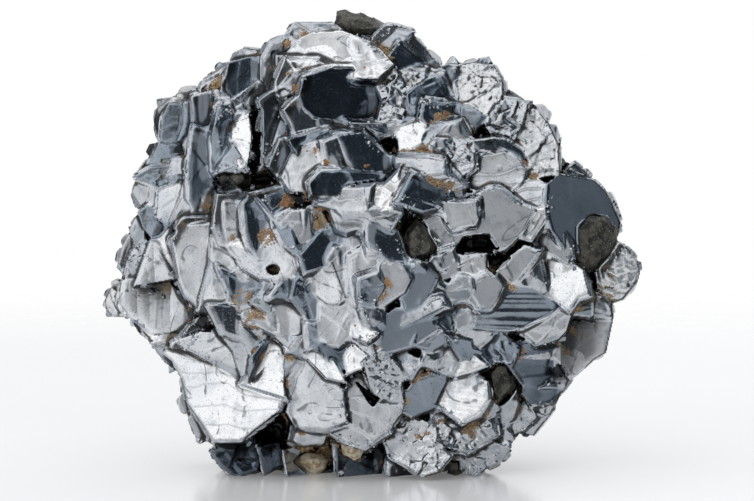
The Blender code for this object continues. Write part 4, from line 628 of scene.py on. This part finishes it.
class Display:
    """The display side as heights w on a grid of sheet places (u, v), and the face that lies at each of them."""

    def __init__(self, faces):
        places = to_sheet(faces.points)
        self.low = places[:, :2].min(0) - 3.0
        self.u, self.v = np.meshgrid(*(np.arange(self.low[axis], places[:, axis].max() + 3.0, SHARP_GRID)
                                       for axis in (0, 1)))
        self.solid = np.full(self.u.shape, EMPTY)
        self.face = np.full(self.u.shape, -1)
        for number in np.flatnonzero(faces.unit @ OUT > 1e-3):
            first, *others = places[faces.corners[number]]
            window = self.window(places[faces.corners[number]])
            (a, b, rise), (c, d, other_rise) = (corner - first for corner in others)
            x, y = self.u[window] - first[0], self.v[window] - first[1]
            share, other = (x * d - y * c) / (a * d - b * c), (y * a - x * b) / (a * d - b * c)
            height = first[2] + share * rise + other * other_rise
            solid, face = self.solid[window], self.face[window]
            better = (share >= 0) & (other >= 0) & (share + other <= 1) & (height > solid)
            solid[better], face[better] = height[better], number
        self.held = self.face >= 0
        self.relief = np.zeros(self.u.shape)
        self.flat = np.stack([self.u, self.v], axis=-1)

    def window(self, places):
        """Slices of the grid round some sheet places."""
        first = np.maximum(((places[..., :2].min(0) - self.low) / SHARP_GRID).astype(int) - 1, 0)
        last = ((places[..., :2].max(0) - self.low) / SHARP_GRID).astype(int) + 2
        return slice(first[1], last[1]), slice(first[0], last[0])

    def carve(self, faces, chosen, shape, tone, rng):
        """Lays a face's relief over it, easing off to the rim; bright faces lean left, and dark ones right."""
        rim = to_sheet(faces.points[faces.rim(chosen)])
        window = self.window(rim.reshape(-1, 3))
        u, v = self.u[window], self.v[window]
        inside = distance_inside(u, v, rim[..., :2])
        mine = np.isin(self.face[window], chosen)
        if min(u.shape) < 5 or inside.max() < NARROWEST or not mine.any():
            return
        ease = smoothstep(inside, -0.1, rng.uniform(0.0, 0.4))
        tip = rng.normal(0.0, 0.04, 2) + [0.075 * min(tone, 1.0), 0.0]
        slant = np.clip(tip[0] * (u - u[mine].mean()) + tip[1] * (v - v[mine].mean()), -0.7, 0.7)
        self.relief[window][mine] = (0.12 + (shape(u, v, inside, rng) - 0.12) * ease + slant)[mine]

    def settle(self, faces, finish):
        """Works out the finished heights: facets that meet in a ridge or a seam, with worn edges and long waves. Also
        works out a painted shade, darker in narrow seams and on flanks that face to the right or downwards.
        """
        area = np.bincount(faces.label, faces.area, len(faces.label))
        big = self.held & (area[faces.label[self.face]] >= SMALLEST_RELIEF)
        wide = smoothstep(noise(self.flat, 7.0, 51), -0.5, 0.5)
        height = self.solid + wide * (highest(self.solid, 0.6) - self.solid)
        filled = -highest(-highest(height, GROOVE_REACH), GROOVE_REACH)
        height = np.where(filled - height < GROOVE_DEPTH, filled, height)
        height += np.where(big, self.relief, blurred(self.relief, big, 0.5))
        height = softened(np.where(self.held, height, EMPTY), 1, 0.14)
        height += 0.34 * noise(self.flat, 13.0, 52) + 0.06 * noise(self.flat, 5.0, 53)
        height = np.maximum(height, self.solid - SUNK + 0.1)
        self.height = np.where(self.held, blurred(height, self.held, 0.08), EMPTY)
        self.hollow, seam = (blurred(self.height, self.held, size) - self.height for size in (1.1, 0.4))
        seam -= 0.06 + 0.12 * noise(self.flat, 4.0, 55)
        # seam and the flank slope give a painted shade: darker in narrow seams and on flanks that face to the right or
        # downwards.
        rough = blurred(self.height, self.held, 0.2) - blurred(self.height, self.held, 1.5)
        fall_v, fall_u = np.gradient(rough, SHARP_GRID)
        painted_flank_shade = smoothstep(0.6 * fall_v - fall_u + 0.3 * noise(self.flat, 3.0, 56), 0.42, 1.1)
        self.shade = np.maximum(0.62 * smoothstep(seam, 0.0, 0.2), 0.64 * painted_flank_shade)
        own = finish[self.face]
        self.finish = np.where(big, own, blurred(own, big, 0.5)) + 0.12 * noise(self.flat, 6.0, 54)

    def at(self, field, flat):
        """Values of a grid field at sheet places (u, v)."""
        column, row = ((flat - self.low) / SHARP_GRID + 0.5).astype(int).T
        return field[np.clip(row, 0, field.shape[0] - 1), np.clip(column, 0, field.shape[1] - 1)]

    def skin(self, shelter, metal):
        """The relief as pieces: bands of grid cells, each with an underside in the solid.

        A cell is split along the diagonal whose ends differ less in height, and its steep triangles are smooth among
        themselves, with a sharp edge to the others.
        """
        quads = grid_cells(self.held)
        height = self.height.ravel()[quads]
        across = np.abs(height[:, 0] - height[:, 2]) > np.abs(height[:, 1] - height[:, 3])
        quads[across] = np.roll(quads[across], 1, axis=1)
        for band, part in enumerate(np.array_split(quads, 1 + len(quads) // BAND_CELLS)):
            used, corner = np.unique(part, return_inverse=True)
            flat = self.flat.reshape(-1, 2)[used]
            top, under = (from_sheet(np.column_stack([flat, field.ravel()[used]]))
                          for field in (self.height, np.maximum(self.solid - SUNK - 0.1, self.height - THICKEST)))
            points, triangles, kinds = closed_sheet(top, under, corner.reshape(-1, 4))
            a, b, c = (points[triangles[:, axis]] for axis in range(3))
            cross = np.cross(b - a, c - a)
            kinds[(kinds == 1) & (cross @ OUT < 0.3 * np.linalg.norm(cross, axis=1))] = 2
            amount, red = stain_at(top)
            hollow, shade, finish = (field.ravel()[used] for field in (self.hollow, self.shade, self.finish))
            # shut: painted shade, darkest in deep gaps, filled grooves, seams and on right and lower flanks; it also
            # brings the ochre film into deep gaps.
            shut = np.maximum.reduce([1.0 - shelter.openness(top), 0.7 * smoothstep(hollow, 0.2, 1.0), shade])
            values = {"finish": finish, "shut": shut, "stain": amount * smoothstep(hollow, 0.0, 0.25), "red": red}
            make_piece(f"growth_relief_{band + 1}", points, triangles, metal, kinds,
                       {key: np.tile(value, 2) for key, value in values.items()})


# ---- materials

class Socket:
    """A node's output in Python expressions: each operator adds a Math node to the tree."""

    def __init__(self, graph, socket):
        self.graph, self.socket = graph, socket

    def maths(self, operation, *others, clamp=False):
        node = self.graph.tree.nodes.new("ShaderNodeMath")
        node.operation, node.use_clamp = operation, clamp
        for slot, value in zip(node.inputs, (self, *others)):
            self.graph.feed(slot, value)
        return Socket(self.graph, node.outputs[0])

    def __add__(self, other):
        return self.maths("ADD", other)

    def __sub__(self, other):
        return self.maths("SUBTRACT", other)

    def __mul__(self, other):
        return self.maths("MULTIPLY", other)

    def __rsub__(self, other):
        return self.maths("MULTIPLY", -1.0).maths("ADD", other)

    __radd__, __rmul__ = __add__, __mul__

    def between(self, outer_low, low, high, outer_high):
        """1 from low to high, falling off smoothly to 0 at the outer two."""
        return self.rises(outer_low, low) * self.rises(outer_high, high)

    def clamped(self):
        return self.maths("ADD", 0.0, clamp=True)

    def rises(self, low, high):
        """0 at low, 1 at high, and a smooth rise between; low may be the larger one."""
        return self.graph.node(
            "ShaderNodeMapRange", {"interpolation_type": "SMOOTHSTEP"},
            {"Value": self, "From Min": low, "From Max": high})


class Graph:
    """The node tree of a new material or world: node() adds a node, and gives its first or its named output."""

    def __init__(self, owner):
        owner.use_nodes = True
        self.owner, self.tree = owner, owner.node_tree
        self.tree.nodes.clear()

    def feed(self, slot, value):
        if isinstance(value, Socket):
            self.tree.links.new(value.socket, slot)
        elif isinstance(value, tuple) and len(value) == 3 and len(slot.default_value) == 4:
            slot.default_value = (*value, 1.0)
        else:
            slot.default_value = value

    def node(self, kind, settings=None, inputs=None, output=0):
        node = self.tree.nodes.new(kind)
        for key, value in (settings or {}).items():
            setattr(node, key, value)
        for key, value in (inputs or {}).items():
            self.feed(node.inputs[key], value)
        return Socket(self, node.outputs[output]) if node.outputs else None

    def place(self):
        return self.node("ShaderNodeTexCoord", output="Object")

    def noise(self, size, detail=2.0, roughness=0.5, distortion=0.0):
        """Noise from 0 to 1 with features of that size in millimetres."""
        return self.node("ShaderNodeTexNoise", {}, {
            "Vector": self.place(), "Scale": 1.0 / (size * MM), "Detail": detail, "Roughness": roughness,
            "Distortion": distortion})

    def mix(self, factor, first, second):
        return self.node("ShaderNodeMix", {"data_type": "RGBA"}, {0: factor, 6: first, 7: second}, output=2)

    def layered(self, colour, *layers):
        """A colour that others cover in turn: each layer is a share from 0 to 1 and a colour."""
        for share, cover in layers:
            colour = self.mix(share, colour, cover)
        return colour

    def value(self, name):
        return self.node("ShaderNodeAttribute", {"attribute_name": name}, output="Fac")

    def bump(self, strength, distance, height, normal=None):
        inputs = {"Strength": strength, "Distance": distance * MM, "Height": height}
        return self.node("ShaderNodeBump", {}, {**inputs, **({"Normal": normal} if normal else {})})


def finished(graph, colour, rough, others):
    """The material from a principled shader with this colour, roughness and other inputs."""
    shader = graph.node("ShaderNodeBsdfPrincipled", {}, {"Base Color": colour, "Roughness": rough, **others})
    graph.node("ShaderNodeOutputMaterial", {}, {"Surface": shader})
    return graph.owner


def magnetite(name, edge):
    """Bright metal, almost a mirror: blue-black in places, partly tarnish and partly a painted dark reflection, ochre
    film in the gaps, fine pits, and dark lines along the growth steps that are a painted shadow of the steps.

    The value "finish" runs from -1, blackened, through 0, bright, and 1, white, to 1.6, frosted by breakage; the
    blackened and white ends are partly tarnish and frosting and partly painted dark and bright reflections.
    "shut" is 1 in the depth of a gap and high on seams and on right and lower flanks, where it darkens the colour
    towards black as painted shade and brings in an ochre film; "stain" and "red" tell where an iron film lies, and its
    colour.
    Sharp edges look rounded by the radius edge; a mesh with worn edges of its own needs none.
    """
    graph = Graph(bpy.data.materials.new(name))
    finish, shut = graph.value("finish"), graph.value("shut")
    wide = graph.noise(8.0, 2.0, 0.5)
    cloud = graph.noise(2.4, 3.0, 0.55)
    fine = graph.noise(0.45, 3.0, 0.6)
    speck = graph.noise(0.3, 1.0, 0.5).rises(0.67, 0.73)
    frost = finish.rises(1.05, 1.4)
    contour = graph.noise(13.0, 1.0, 0.35, 0.9) * 5.0
    past = contour.maths("FRACT")
    step = contour.maths("FLOOR") + past.rises(0.0, 0.1)
    # line: a dark line just past each contour step, a painted shadow of the growth steps.
    line = past.between(0.0, 0.03, 0.08, 0.13) * cloud.rises(0.44, 0.56)
    # grey: white and dark layers by finish, partly tarnish and frosting, partly painted bright and dark reflections.
    grey = graph.layered(
        (0.54, 0.56, 0.59), (finish.rises(0.1, 0.9), (0.80, 0.81, 0.82)),
        (finish.rises(-0.1, -0.65), (0.25, 0.29, 0.34)), (finish.rises(-0.65, -0.95), (0.13, 0.155, 0.19)),
        (cloud.rises(0.48, 0.7) * 0.4, (0.24, 0.28, 0.33)), (wide.rises(0.5, 0.7) * 0.25, (0.42, 0.47, 0.53)),
        (fine.rises(0.55, 0.8) * (0.4 + 0.4 * frost), (0.16, 0.17, 0.18)), (speck * 0.6, (0.04, 0.04, 0.04)),
        (line * finish.rises(-0.5, 0.4) * 0.7, (0.10, 0.11, 0.12)),
        # painted shade: the colour goes almost black where shut is high, in gaps, seams and on right and lower flanks.
        ((shut.rises(0.2, 0.72) * 0.94).clamped(), (0.012, 0.014, 0.015)))
    film = graph.value("stain").rises(0.15, 0.6) * cloud.rises(0.42, 0.56)
    film = film + shut.rises(0.45, 0.75) * wide.rises(0.50, 0.6) * cloud.rises(0.5, 0.6) * 0.55
    film = (film * fine.rises(0.36, 0.5)).clamped()
    earth = graph.mix(graph.value("red"), (0.50, 0.33, 0.15), (0.40, 0.13, 0.03))
    colour = graph.mix(film * 0.85, grey, graph.mix(fine.rises(0.5, 0.7), earth, (0.15, 0.09, 0.045)))
    rough = 0.12 + 0.09 * cloud.rises(0.4, 0.75) + 0.1 * fine.rises(0.55, 0.8) + 0.45 * film + 0.35 * frost
    rough = rough + 0.25 * shut.rises(0.3, 0.8)
    rounded = edge and graph.node("ShaderNodeBevel", {"samples": 4}, {"Radius": edge * MM})
    wavy = graph.bump(0.5, 1.0, wide * 0.35 + cloud * 0.07, rounded)
    stepped = graph.bump(0.3, 0.07, step * finish.rises(-0.8, 0.3), wavy)
    normal = graph.bump(0.35, 0.05, fine * (1.0 + 3.0 * frost) - speck * 1.5, stepped)
    return finished(graph, colour, rough.clamped(), {"Metallic": 1.0 - film * 0.9, "Normal": normal})


def crust_material():
    """Earthy iron-stained crust: cream to ochre to red by the grain's "red" value, grainy and matt."""
    graph = Graph(bpy.data.materials.new("ochre_crust"))
    grain = graph.noise(0.3, 3.0, 0.6)
    patch = graph.noise(1.4, 2.0, 0.5)
    colour = graph.layered(
        (0.60, 0.50, 0.33), (graph.value("red"), (0.50, 0.19, 0.045)),
        (patch.rises(0.35, 0.65) * 0.7, (0.27, 0.19, 0.11)), (grain.rises(0.45, 0.7) * 0.6, (0.13, 0.08, 0.05)))
    return finished(graph, colour, 0.8 + 0.15 * grain, {"Normal": graph.bump(0.7, 0.15, grain)})


def dull_material():
    """Dull olive-brown mineral: grainy, with light grey grains that are partly rubbed places and partly a painted
    sheen, and nearly black between random olive-brown patches.
    """
    graph = Graph(bpy.data.materials.new("dull_mineral"))
    grain = graph.noise(0.38, 4.0, 0.7)
    patch = graph.noise(2.0, 3.0, 0.6)
    colour = graph.layered((0.018, 0.018, 0.016), (patch.rises(0.36, 0.64), (0.115, 0.108, 0.088)),
                           # light grey grains: partly rubbed places, partly a painted sheen.
                           (grain.rises(0.56, 0.68) * 0.75, (0.42, 0.42, 0.40)))
    return finished(graph, colour, 0.28 + 0.3 * patch, {"Metallic": 0.3, "Normal": graph.bump(0.9, 0.3, grain)})


def quartz_material():
    """Cloudy cream quartz: waxy, with brownish veils in it and pale grains."""
    graph = Graph(bpy.data.materials.new("cream_quartz"))
    veil = graph.noise(1.5, 3.0, 0.6)
    grain = graph.noise(0.35, 2.0, 0.5)
    colour = graph.layered((0.66, 0.60, 0.47), (veil.rises(0.42, 0.62), (0.36, 0.25, 0.13)),
                           (grain.rises(0.58, 0.72) * 0.5, (0.84, 0.81, 0.72)))
    return finished(graph, colour, 0.25 + 0.25 * veil, {
        "Normal": graph.bump(0.6, 0.14, grain), "Subsurface Weight": 0.25, "Subsurface Radius": (0.9, 0.7, 0.4),
        "Subsurface Scale": 1.0 * MM})


def table_material():
    """White lacquered table top: a faint, soft mirror image; it thins out to nothing at its round rim."""
    graph = Graph(bpy.data.materials.new("white_table"))
    cloud = graph.noise(60.0, 2.0)
    away = graph.node("ShaderNodeVectorMath", {"operation": "LENGTH"}, {0: graph.place()}, output="Value")
    colour = graph.mix(cloud, (0.90, 0.905, 0.91), (0.94, 0.94, 0.94))
    return finished(graph, colour, 0.13 + 0.05 * cloud, {
        "Specular IOR Level": 0.6, "Alpha": away.rises(0.34, 0.20), "Emission Color": (1.0, 1.0, 1.0),
        "Emission Strength": 0.12})


# ---- pieces

def sort_faces(faces, rng):
    """The finish of every triangle, and a dict from face label to the relief that the lists give it."""
    finish = rng.uniform(-0.45, 0.3, len(faces.label))[faces.label]
    # Listed faces are lightened or darkened through finish: partly tarnish and frosting, partly painted bright and
    # dark reflections.
    for value, spots in ((0.4, PALE_FACES), (0.9, WHITE_FACES), (-0.6, DARK_FACES), (-0.93, BLACK_FACES),
                         (1.6, FROSTED_FACES)):
        for spot in spots:
            finish[faces.label == faces.label_under(*spot)] = value + rng.uniform(-0.05, 0.05)
    relief = {}
    for shape, spots in ((terraced_face, TERRACED_FACES), (scalloped_face, SCALLOPED_FACES),
                         (ribbed_face, RIBBED_FACES), (broken_face, BROKEN_FACES), (smooth_face, SMOOTH_FACES)):
        for spot in spots:
            relief.setdefault(faces.label_under(*spot), shape)
    return finish, relief


def point_values(points, shelter):
    """What the metal asks of each point apart from its finish."""
    amount, red = stain_at(points)
    # shut darkens the metal's colour where a point is shut in: painted shade.
    return {"shut": 1.0 - shelter.openness(points), "stain": amount, "red": red}


def relief_for(tone, area, rng):
    """A relief for a face that isn't listed: calm on bright and large faces, livelier on dark ones."""
    if tone > 0.2 or area > 45.0:
        return rng.choice([eased_face, stepped_face, smooth_face, eased_face])
    return rng.choice([sharp_face, sharp_face, stepped_face, stepped_face, eased_face, eased_face, eased_face,
                       scalloped_face])


def cluster_pieces(faces, display, shelter, metal, worn_metal, rng):
    """The crystals themselves, and the relief on their faces."""
    finish, relief = sort_faces(faces, rng)
    sunk = faces.points - OUT * SUNK * smoothstep(to_sheet(faces.points)[:, 2], -4.0, 0.0)[:, None]
    crystals = make_piece("magnetite_crystals", sunk, faces.corners, metal,
                          values={"finish": finish, **point_values(faces.points, shelter)})
    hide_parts("magnetite_cluster")
    sides = []
    order = np.argsort(faces.label, kind="stable")
    for chosen in np.split(order, np.flatnonzero(np.diff(faces.label[order])) + 1):
        area = faces.area[chosen].sum()
        if area < SMALLEST_RELIEF:
            continue
        tone = finish[chosen[0]]
        shape = relief.get(int(faces.label[chosen[0]])) or relief_for(tone, area, rng)
        unit, middle = faces.plane(chosen)
        if unit @ OUT > DISPLAY_SIDE:
            display.carve(faces, chosen, shape, tone, rng)
        elif (unit @ OUT < BACK_AND_SIDES and unit[2] > -0.9 and area > SMALLEST_PATCH
              and shelter.openness(middle[None] + unit * 0.5)[0] > 0.45):
            patch = relief_patch(faces, chosen, rng, shape)
            if patch:
                points, triangles, kinds = patch
                values = {"finish": np.full(len(triangles), tone), **point_values(points, shelter)}
                sides.append((points, triangles, values, kinds))
    points, triangles, values, kinds = joined(sides)
    make_piece("growth_relief_sides", points, triangles, metal, kinds, values)
    display.settle(faces, finish)
    display.skin(shelter, worn_metal)


def turned(count, rng):
    """Random rotation matrices, evenly spread: from unit quaternions."""
    a, b, c, d = unit_vectors(rng.normal(size=(count, 4))).T
    return np.moveaxis(np.array([
        (a * a + b * b - c * c - d * d, 2 * (b * c - a * d), 2 * (b * d + a * c)),
        (2 * (b * c + a * d), a * a - b * b + c * c - d * d, 2 * (c * d - a * b)),
        (2 * (b * d - a * c), 2 * (c * d + a * b), a * a - b * b - c * c + d * d)]), -1, 0)


def standing(axes, spread, rng):
    """Rotation matrices that turn +Z to the given axes, tipped by normal noise, with a random turn about them."""
    axes = unit_vectors(axes + rng.normal(0, spread, axes.shape))
    side = rng.normal(size=axes.shape)
    side = unit_vectors(side - (side * axes).sum(1)[:, None] * axes)
    return np.stack([side, np.cross(axes, side), axes], axis=-1)


def hull(points):
    """Triangles of the convex hull of a few points, facing out: every plane of three with all others behind it."""
    triangles, middle = [], points.mean(0)
    for i, j, k in itertools.combinations(range(len(points)), 3):
        normal = np.cross(points[j] - points[i], points[k] - points[i])
        side = (points - points[i]) @ normal
        if (side > -1e-9).all() or (side < 1e-9).all():
            triangles.append((i, j, k) if normal @ (points[i] - middle) > 0 else (i, k, j))
    return np.array(triangles)


def shard_template(rng):
    """A chip: a cube with its eight corners moved, so that no four of them lie in one plane."""
    cube = np.array(list(itertools.product((-1.0, 1.0), repeat=3)))
    cube += rng.uniform(-0.22, 0.22, cube.shape)
    return cube, hull(cube)


def crystal_template(rng, sides):
    """A standing crystal: three uneven rings of corners, a wide one below, one at the shoulder and a small top."""
    rings = []
    for height, reach in ((-1.0, 0.8), (0.15, 1.0), (0.8, 0.5)):
        turns = uneven_turns(sides, rng)
        reaches = reach * rng.uniform(0.85, 1.1, sides)
        heights = height + rng.uniform(-0.12, 0.12, sides)
        rings.append(np.stack([reaches * np.cos(turns), reaches * np.sin(turns), heights], axis=-1))
    points = np.concatenate(rings)
    return points, hull(points)


def lump_template(rng):
    """A small rounded grain: a twelve-cornered ball with its corners pushed in and out."""
    golden = (1 + math.sqrt(5)) / 2
    ball = np.array([(0, a, b * golden) for a in (-1, 1) for b in (-1, 1)], float)
    ball = np.concatenate([ball, ball[:, [2, 0, 1]], ball[:, [1, 2, 0]]])
    ball /= np.linalg.norm(ball[0])
    ball *= rng.uniform(0.8, 1.1, (len(ball), 1))
    return ball, hull(ball)


def scatter(name, templates, places, spins, stretch, values, material, kind=0):
    """One piece of many small solids: each is a template, stretched, turned by its matrix and set at its place.

    The templates take turns, and values hold one number for each solid.
    """
    parts = []
    for number, (template, triangles) in enumerate(templates):
        mine = slice(number, None, len(templates))
        points = np.einsum("nij,nkj->nki", spins[mine], template[None] * stretch[mine, None]) + places[mine, None]
        solids = triangles[None] + (np.arange(len(points)) * len(template))[:, None, None]
        spread = {key: np.repeat(value[mine], len(triangles)) for key, value in values.items()}
        parts.append((points.reshape(-1, 3), solids.reshape(-1, 3), spread, kind))
    points, solids, values, kinds = joined(parts)
    make_piece(name, points, solids, material, kinds, values)


def gap_crystals(faces, shelter, metal, rng):
    """Small crystals that stand in the gaps, their tops turned outwards, larger where the gap is shallower."""
    places = faces.scattered(GAP_PLACES, rng)
    openness = shelter.openness(places)
    order = rng.permutation(np.flatnonzero((openness > 0.15) & (openness < 0.42) & (places[:, 2] > 2.0)))
    _, first = np.unique((places[order] // GAP_CELL).astype(int), axis=0, return_index=True)
    places, openness = places[order[first]], openness[order[first]]
    sizes = rng.uniform(0.55, 1.45, len(places)) * (0.5 + 0.8 * openness)
    axes = unit_vectors(outward(places))
    spins = standing(axes, 0.28, rng)
    spans = ((0.6, 1.1), (0.6, 1.1), (0.9, 1.5))  # of the crystals' widths and height
    stretch = sizes[:, None] * np.stack([rng.uniform(*span, len(places)) for span in spans], axis=-1)
    places = places - axes * sizes[:, None] * 0.15
    amount, red = stain_at(places)
    # shut darkens the gap crystals the more they are shut in: painted shade.
    values = {"finish": rng.uniform(-0.75, 0.3, len(places)), "stain": amount * 0.7, "red": red,
              "shut": np.clip(0.75 - openness * 0.8, 0.0, 1.0)}
    templates = [crystal_template(rng, sides) for sides in (4, 5, 6, 4, 5, 3)]
    scatter("gap_crystals", templates, places, spins, stretch, values, metal)


def edge_chips(display, shelter, metal, rng):
    """Small chips along the display side's ridges, in rough stretches."""
    ridge = np.flatnonzero((display.held & (display.hollow < -0.22)).ravel())
    flat = display.flat.reshape(-1, 2)
    ridge = rng.choice(ridge[noise(flat[ridge], 5.0, 3) > 0.25], CHIPS)
    sizes = 0.08 + 0.3 * rng.random(len(ridge)) ** 3
    places = from_sheet(np.column_stack([flat[ridge], display.height.ravel()[ridge] - sizes * 0.3]))
    stretch = sizes[:, None] * rng.uniform(0.5, 1.2, (len(places), 3))
    # shut darkens the chips where they are shut in: painted shade.
    values = {"finish": rng.uniform(-0.6, 0.5, len(places)), "shut": 1.0 - shelter.openness(places),
              "stain": np.zeros(len(places)), "red": np.zeros(len(places))}
    templates = [shard_template(rng) for _ in range(4)]
    scatter("edge_chips", templates, places, turned(len(places), rng), stretch, values, metal)


def ochre_crusts(faces, display, shelter, material, rng):
    """Earthy grains in the seams near the listed places and, more thinly, in the gaps elsewhere."""
    spots = np.repeat(np.array(CRUSTS), (np.array(CRUSTS)[:, 2] * GRAINS).astype(int), axis=0)
    flat = spots[:, :2] + rng.normal(0, 0.55, (len(spots), 2)) * spots[:, 2:3]
    height, hollow = (display.at(field, flat) for field in (display.height, display.hollow))
    kept = (height > -20) & (hollow + 0.12 * noise(flat, 1.3, 77) > 0.14)
    places = from_sheet(np.column_stack([flat, height]))[kept]
    reds = np.clip(spots[kept, 3] + rng.uniform(-0.2, 0.3, kept.sum()), 0, 1)
    loose = faces.scattered(LOOSE_GRAINS, rng)
    patchy = smoothstep(noise(loose, 8.0, 21), 0.2, 0.6)
    shut = 1.0 - shelter.openness(loose)
    loose = loose[(rng.random(len(loose)) < shut * patchy * 0.9) & (loose[:, 2] > 1.0)]
    places = np.concatenate([places, loose])
    reds = np.concatenate([reds, rng.uniform(0.0, 0.8, len(loose))])
    sizes = 0.07 + 0.24 * rng.random(len(places)) ** 2
    stretch = sizes[:, None] * rng.uniform(0.5, 1.3, (len(places), 3))
    templates = [lump_template(rng) for _ in range(4)]
    scatter("ochre_crust", templates, places, turned(len(places), rng), stretch, {"red": reds}, material,
            kind=1)


def worn_crystal(node_name, material, amount, seed):
    """A node's own solid divided finely, each point pushed in and out along the surface by noise."""
    points, corners = merged(node_triangles(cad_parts[node_name]))
    mesh = bpy.data.meshes.new(node_name + "_worn")
    mesh.from_pydata((points * MM).tolist(), [], corners.tolist())
    obj = added(node_name + "_worn", mesh)
    divide = obj.modifiers.new("divide", "REMESH")
    divide.mode, divide.voxel_size = "VOXEL", 0.2 * MM
    mesh = bpy.data.meshes.new_from_object(obj.evaluated_get(bpy.context.evaluated_depsgraph_get()))
    obj.modifiers.clear()
    obj.data = mesh
    place, unit = (numbers_of(mesh.vertices, key, 3, np.float32) for key in ("co", "normal"))
    place = place / MM
    ridge = np.abs(noise(place, 1.7, seed))
    push = noise(place, 2.4, seed + 3) + 0.9 * ridge + 0.35 * noise(place, 0.7, seed + 1) - 0.75
    place = (place + unit * amount * push[:, None]) * MM
    mesh.vertices.foreach_set("co", place.astype(np.float32).ravel())
    mesh.polygons.foreach_set("use_smooth", np.ones(len(mesh.polygons), bool))
    mesh.update()
    mesh.materials.clear()
    mesh.materials.append(material)
    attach(obj, "root")
    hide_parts(node_name)


# ---- studio

def studio_world():
    """Soft studio light by direction: bright to the left, behind and overhead, and dimmer in front.

    One dark bluish panel stands at the right, with a narrow bright strip in it, and one at the back left. The
    angles are degrees around the cluster, from the viewer's side to the right, and degrees above the table.
    """
    graph = Graph(bpy.data.worlds.new("studio"))
    bpy.context.scene.world = graph.owner
    away = graph.node("ShaderNodeTexCoord", output="Generated")
    x, y, z = (graph.node("ShaderNodeSeparateXYZ", {}, {0: away}, output=axis) for axis in "XYZ")
    around = x.maths("ARCTAN2", y * -1.0) * (180 / math.pi)
    above = z.maths("ARCSINE") * (180 / math.pi)
    strip = around.between(84, 92, 104, 112) * above.between(-12, -2, 30, 44)
    panel = around.between(16, 48, 124, 146) * above.rises(62, 34) * (1.0 - 0.5 * strip)
    back_panel = around.between(-168, -150, -122, -104) * above.rises(56, 34)
    left = around.rises(0, -34) * (1.0 - 0.55 * around.rises(-56, -84))
    bright = 0.54 + 0.64 * left + 0.35 * around.rises(120, 146)
    top = above.rises(20, 46)
    ceiling = 1.25 - 0.65 * above.rises(60, 84)
    light = (bright * (1.0 - top) + ceiling * top) * (1.0 - 0.88 * panel) * (1.0 - 0.9 * back_panel)
    light = light * (1.0 - 0.25 * above.rises(0, -25))
    seen = graph.node("ShaderNodeLightPath", output="Is Camera Ray")
    colour = graph.mix(panel, (0.985, 0.99, 1.0), (0.70, 0.86, 1.0))
    glow = graph.node("ShaderNodeBackground", {}, {"Color": colour, "Strength": light})
    white = graph.node("ShaderNodeBackground", {}, {"Color": (1.0, 1.0, 1.0), "Strength": 1.0})
    both = graph.node("ShaderNodeMixShader", {}, {0: seen, 1: glow, 2: white})
    graph.node("ShaderNodeOutputWorld", {}, {"Surface": both})


def studio():
    """The table top, the light and the camera in front of the display side."""
    scene = bpy.context.scene
    scene.view_settings.view_transform = "Standard"
    studio_world()
    turns = np.arange(TABLE_SIDES) * 2 * math.pi / TABLE_SIDES
    rim = np.stack([TABLE_RADIUS * np.cos(turns), TABLE_RADIUS * np.sin(turns), np.full(TABLE_SIDES, -0.0002)], -1)
    mesh = bpy.data.meshes.new("table_top")
    mesh.from_pydata(rim.tolist(), [], [tuple(range(TABLE_SIDES))])
    mesh.materials.append(table_material())
    floor = added("table_top", mesh)
    back = Vector(OUT)
    lens = bpy.data.cameras.new("camera")
    lens.sensor_width = SENSOR
    lens.lens = SENSOR * CAMERA_DISTANCE / VIEW_WIDTH
    lens.clip_end = 20.0
    scene.camera = added("camera", lens)
    scene.camera.location = Vector(from_sheet(AIM) * MM) + back * CAMERA_DISTANCE
    scene.camera.rotation_euler = (-back).to_track_quat("-Z", "Y").to_euler()


def build():
    rng = np.random.default_rng(5)
    studio()
    metal, worn_metal = magnetite("magnetite_metal", 0.14), magnetite("magnetite_worn", 0.0)
    earth, dull, cream = crust_material(), dull_material(), quartz_material()
    faces = Faces(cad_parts["magnetite_cluster"])
    display, shelter = Display(faces), Shelter(faces, rng)
    cluster_pieces(faces, display, shelter, metal, worn_metal, rng)
    gap_crystals(faces, shelter, metal, rng)
    edge_chips(display, shelter, metal, rng)
    ochre_crusts(faces, display, shelter, earth, rng)
    for number, name in enumerate(sorted(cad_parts)):
        if name.startswith("dull_crystal"):
            worn_crystal(name, dull, 0.32, 10 * number)
        elif name.startswith("quartz_crystal"):
            worn_crystal(name, cream, 0.25, 10 * number)


build()
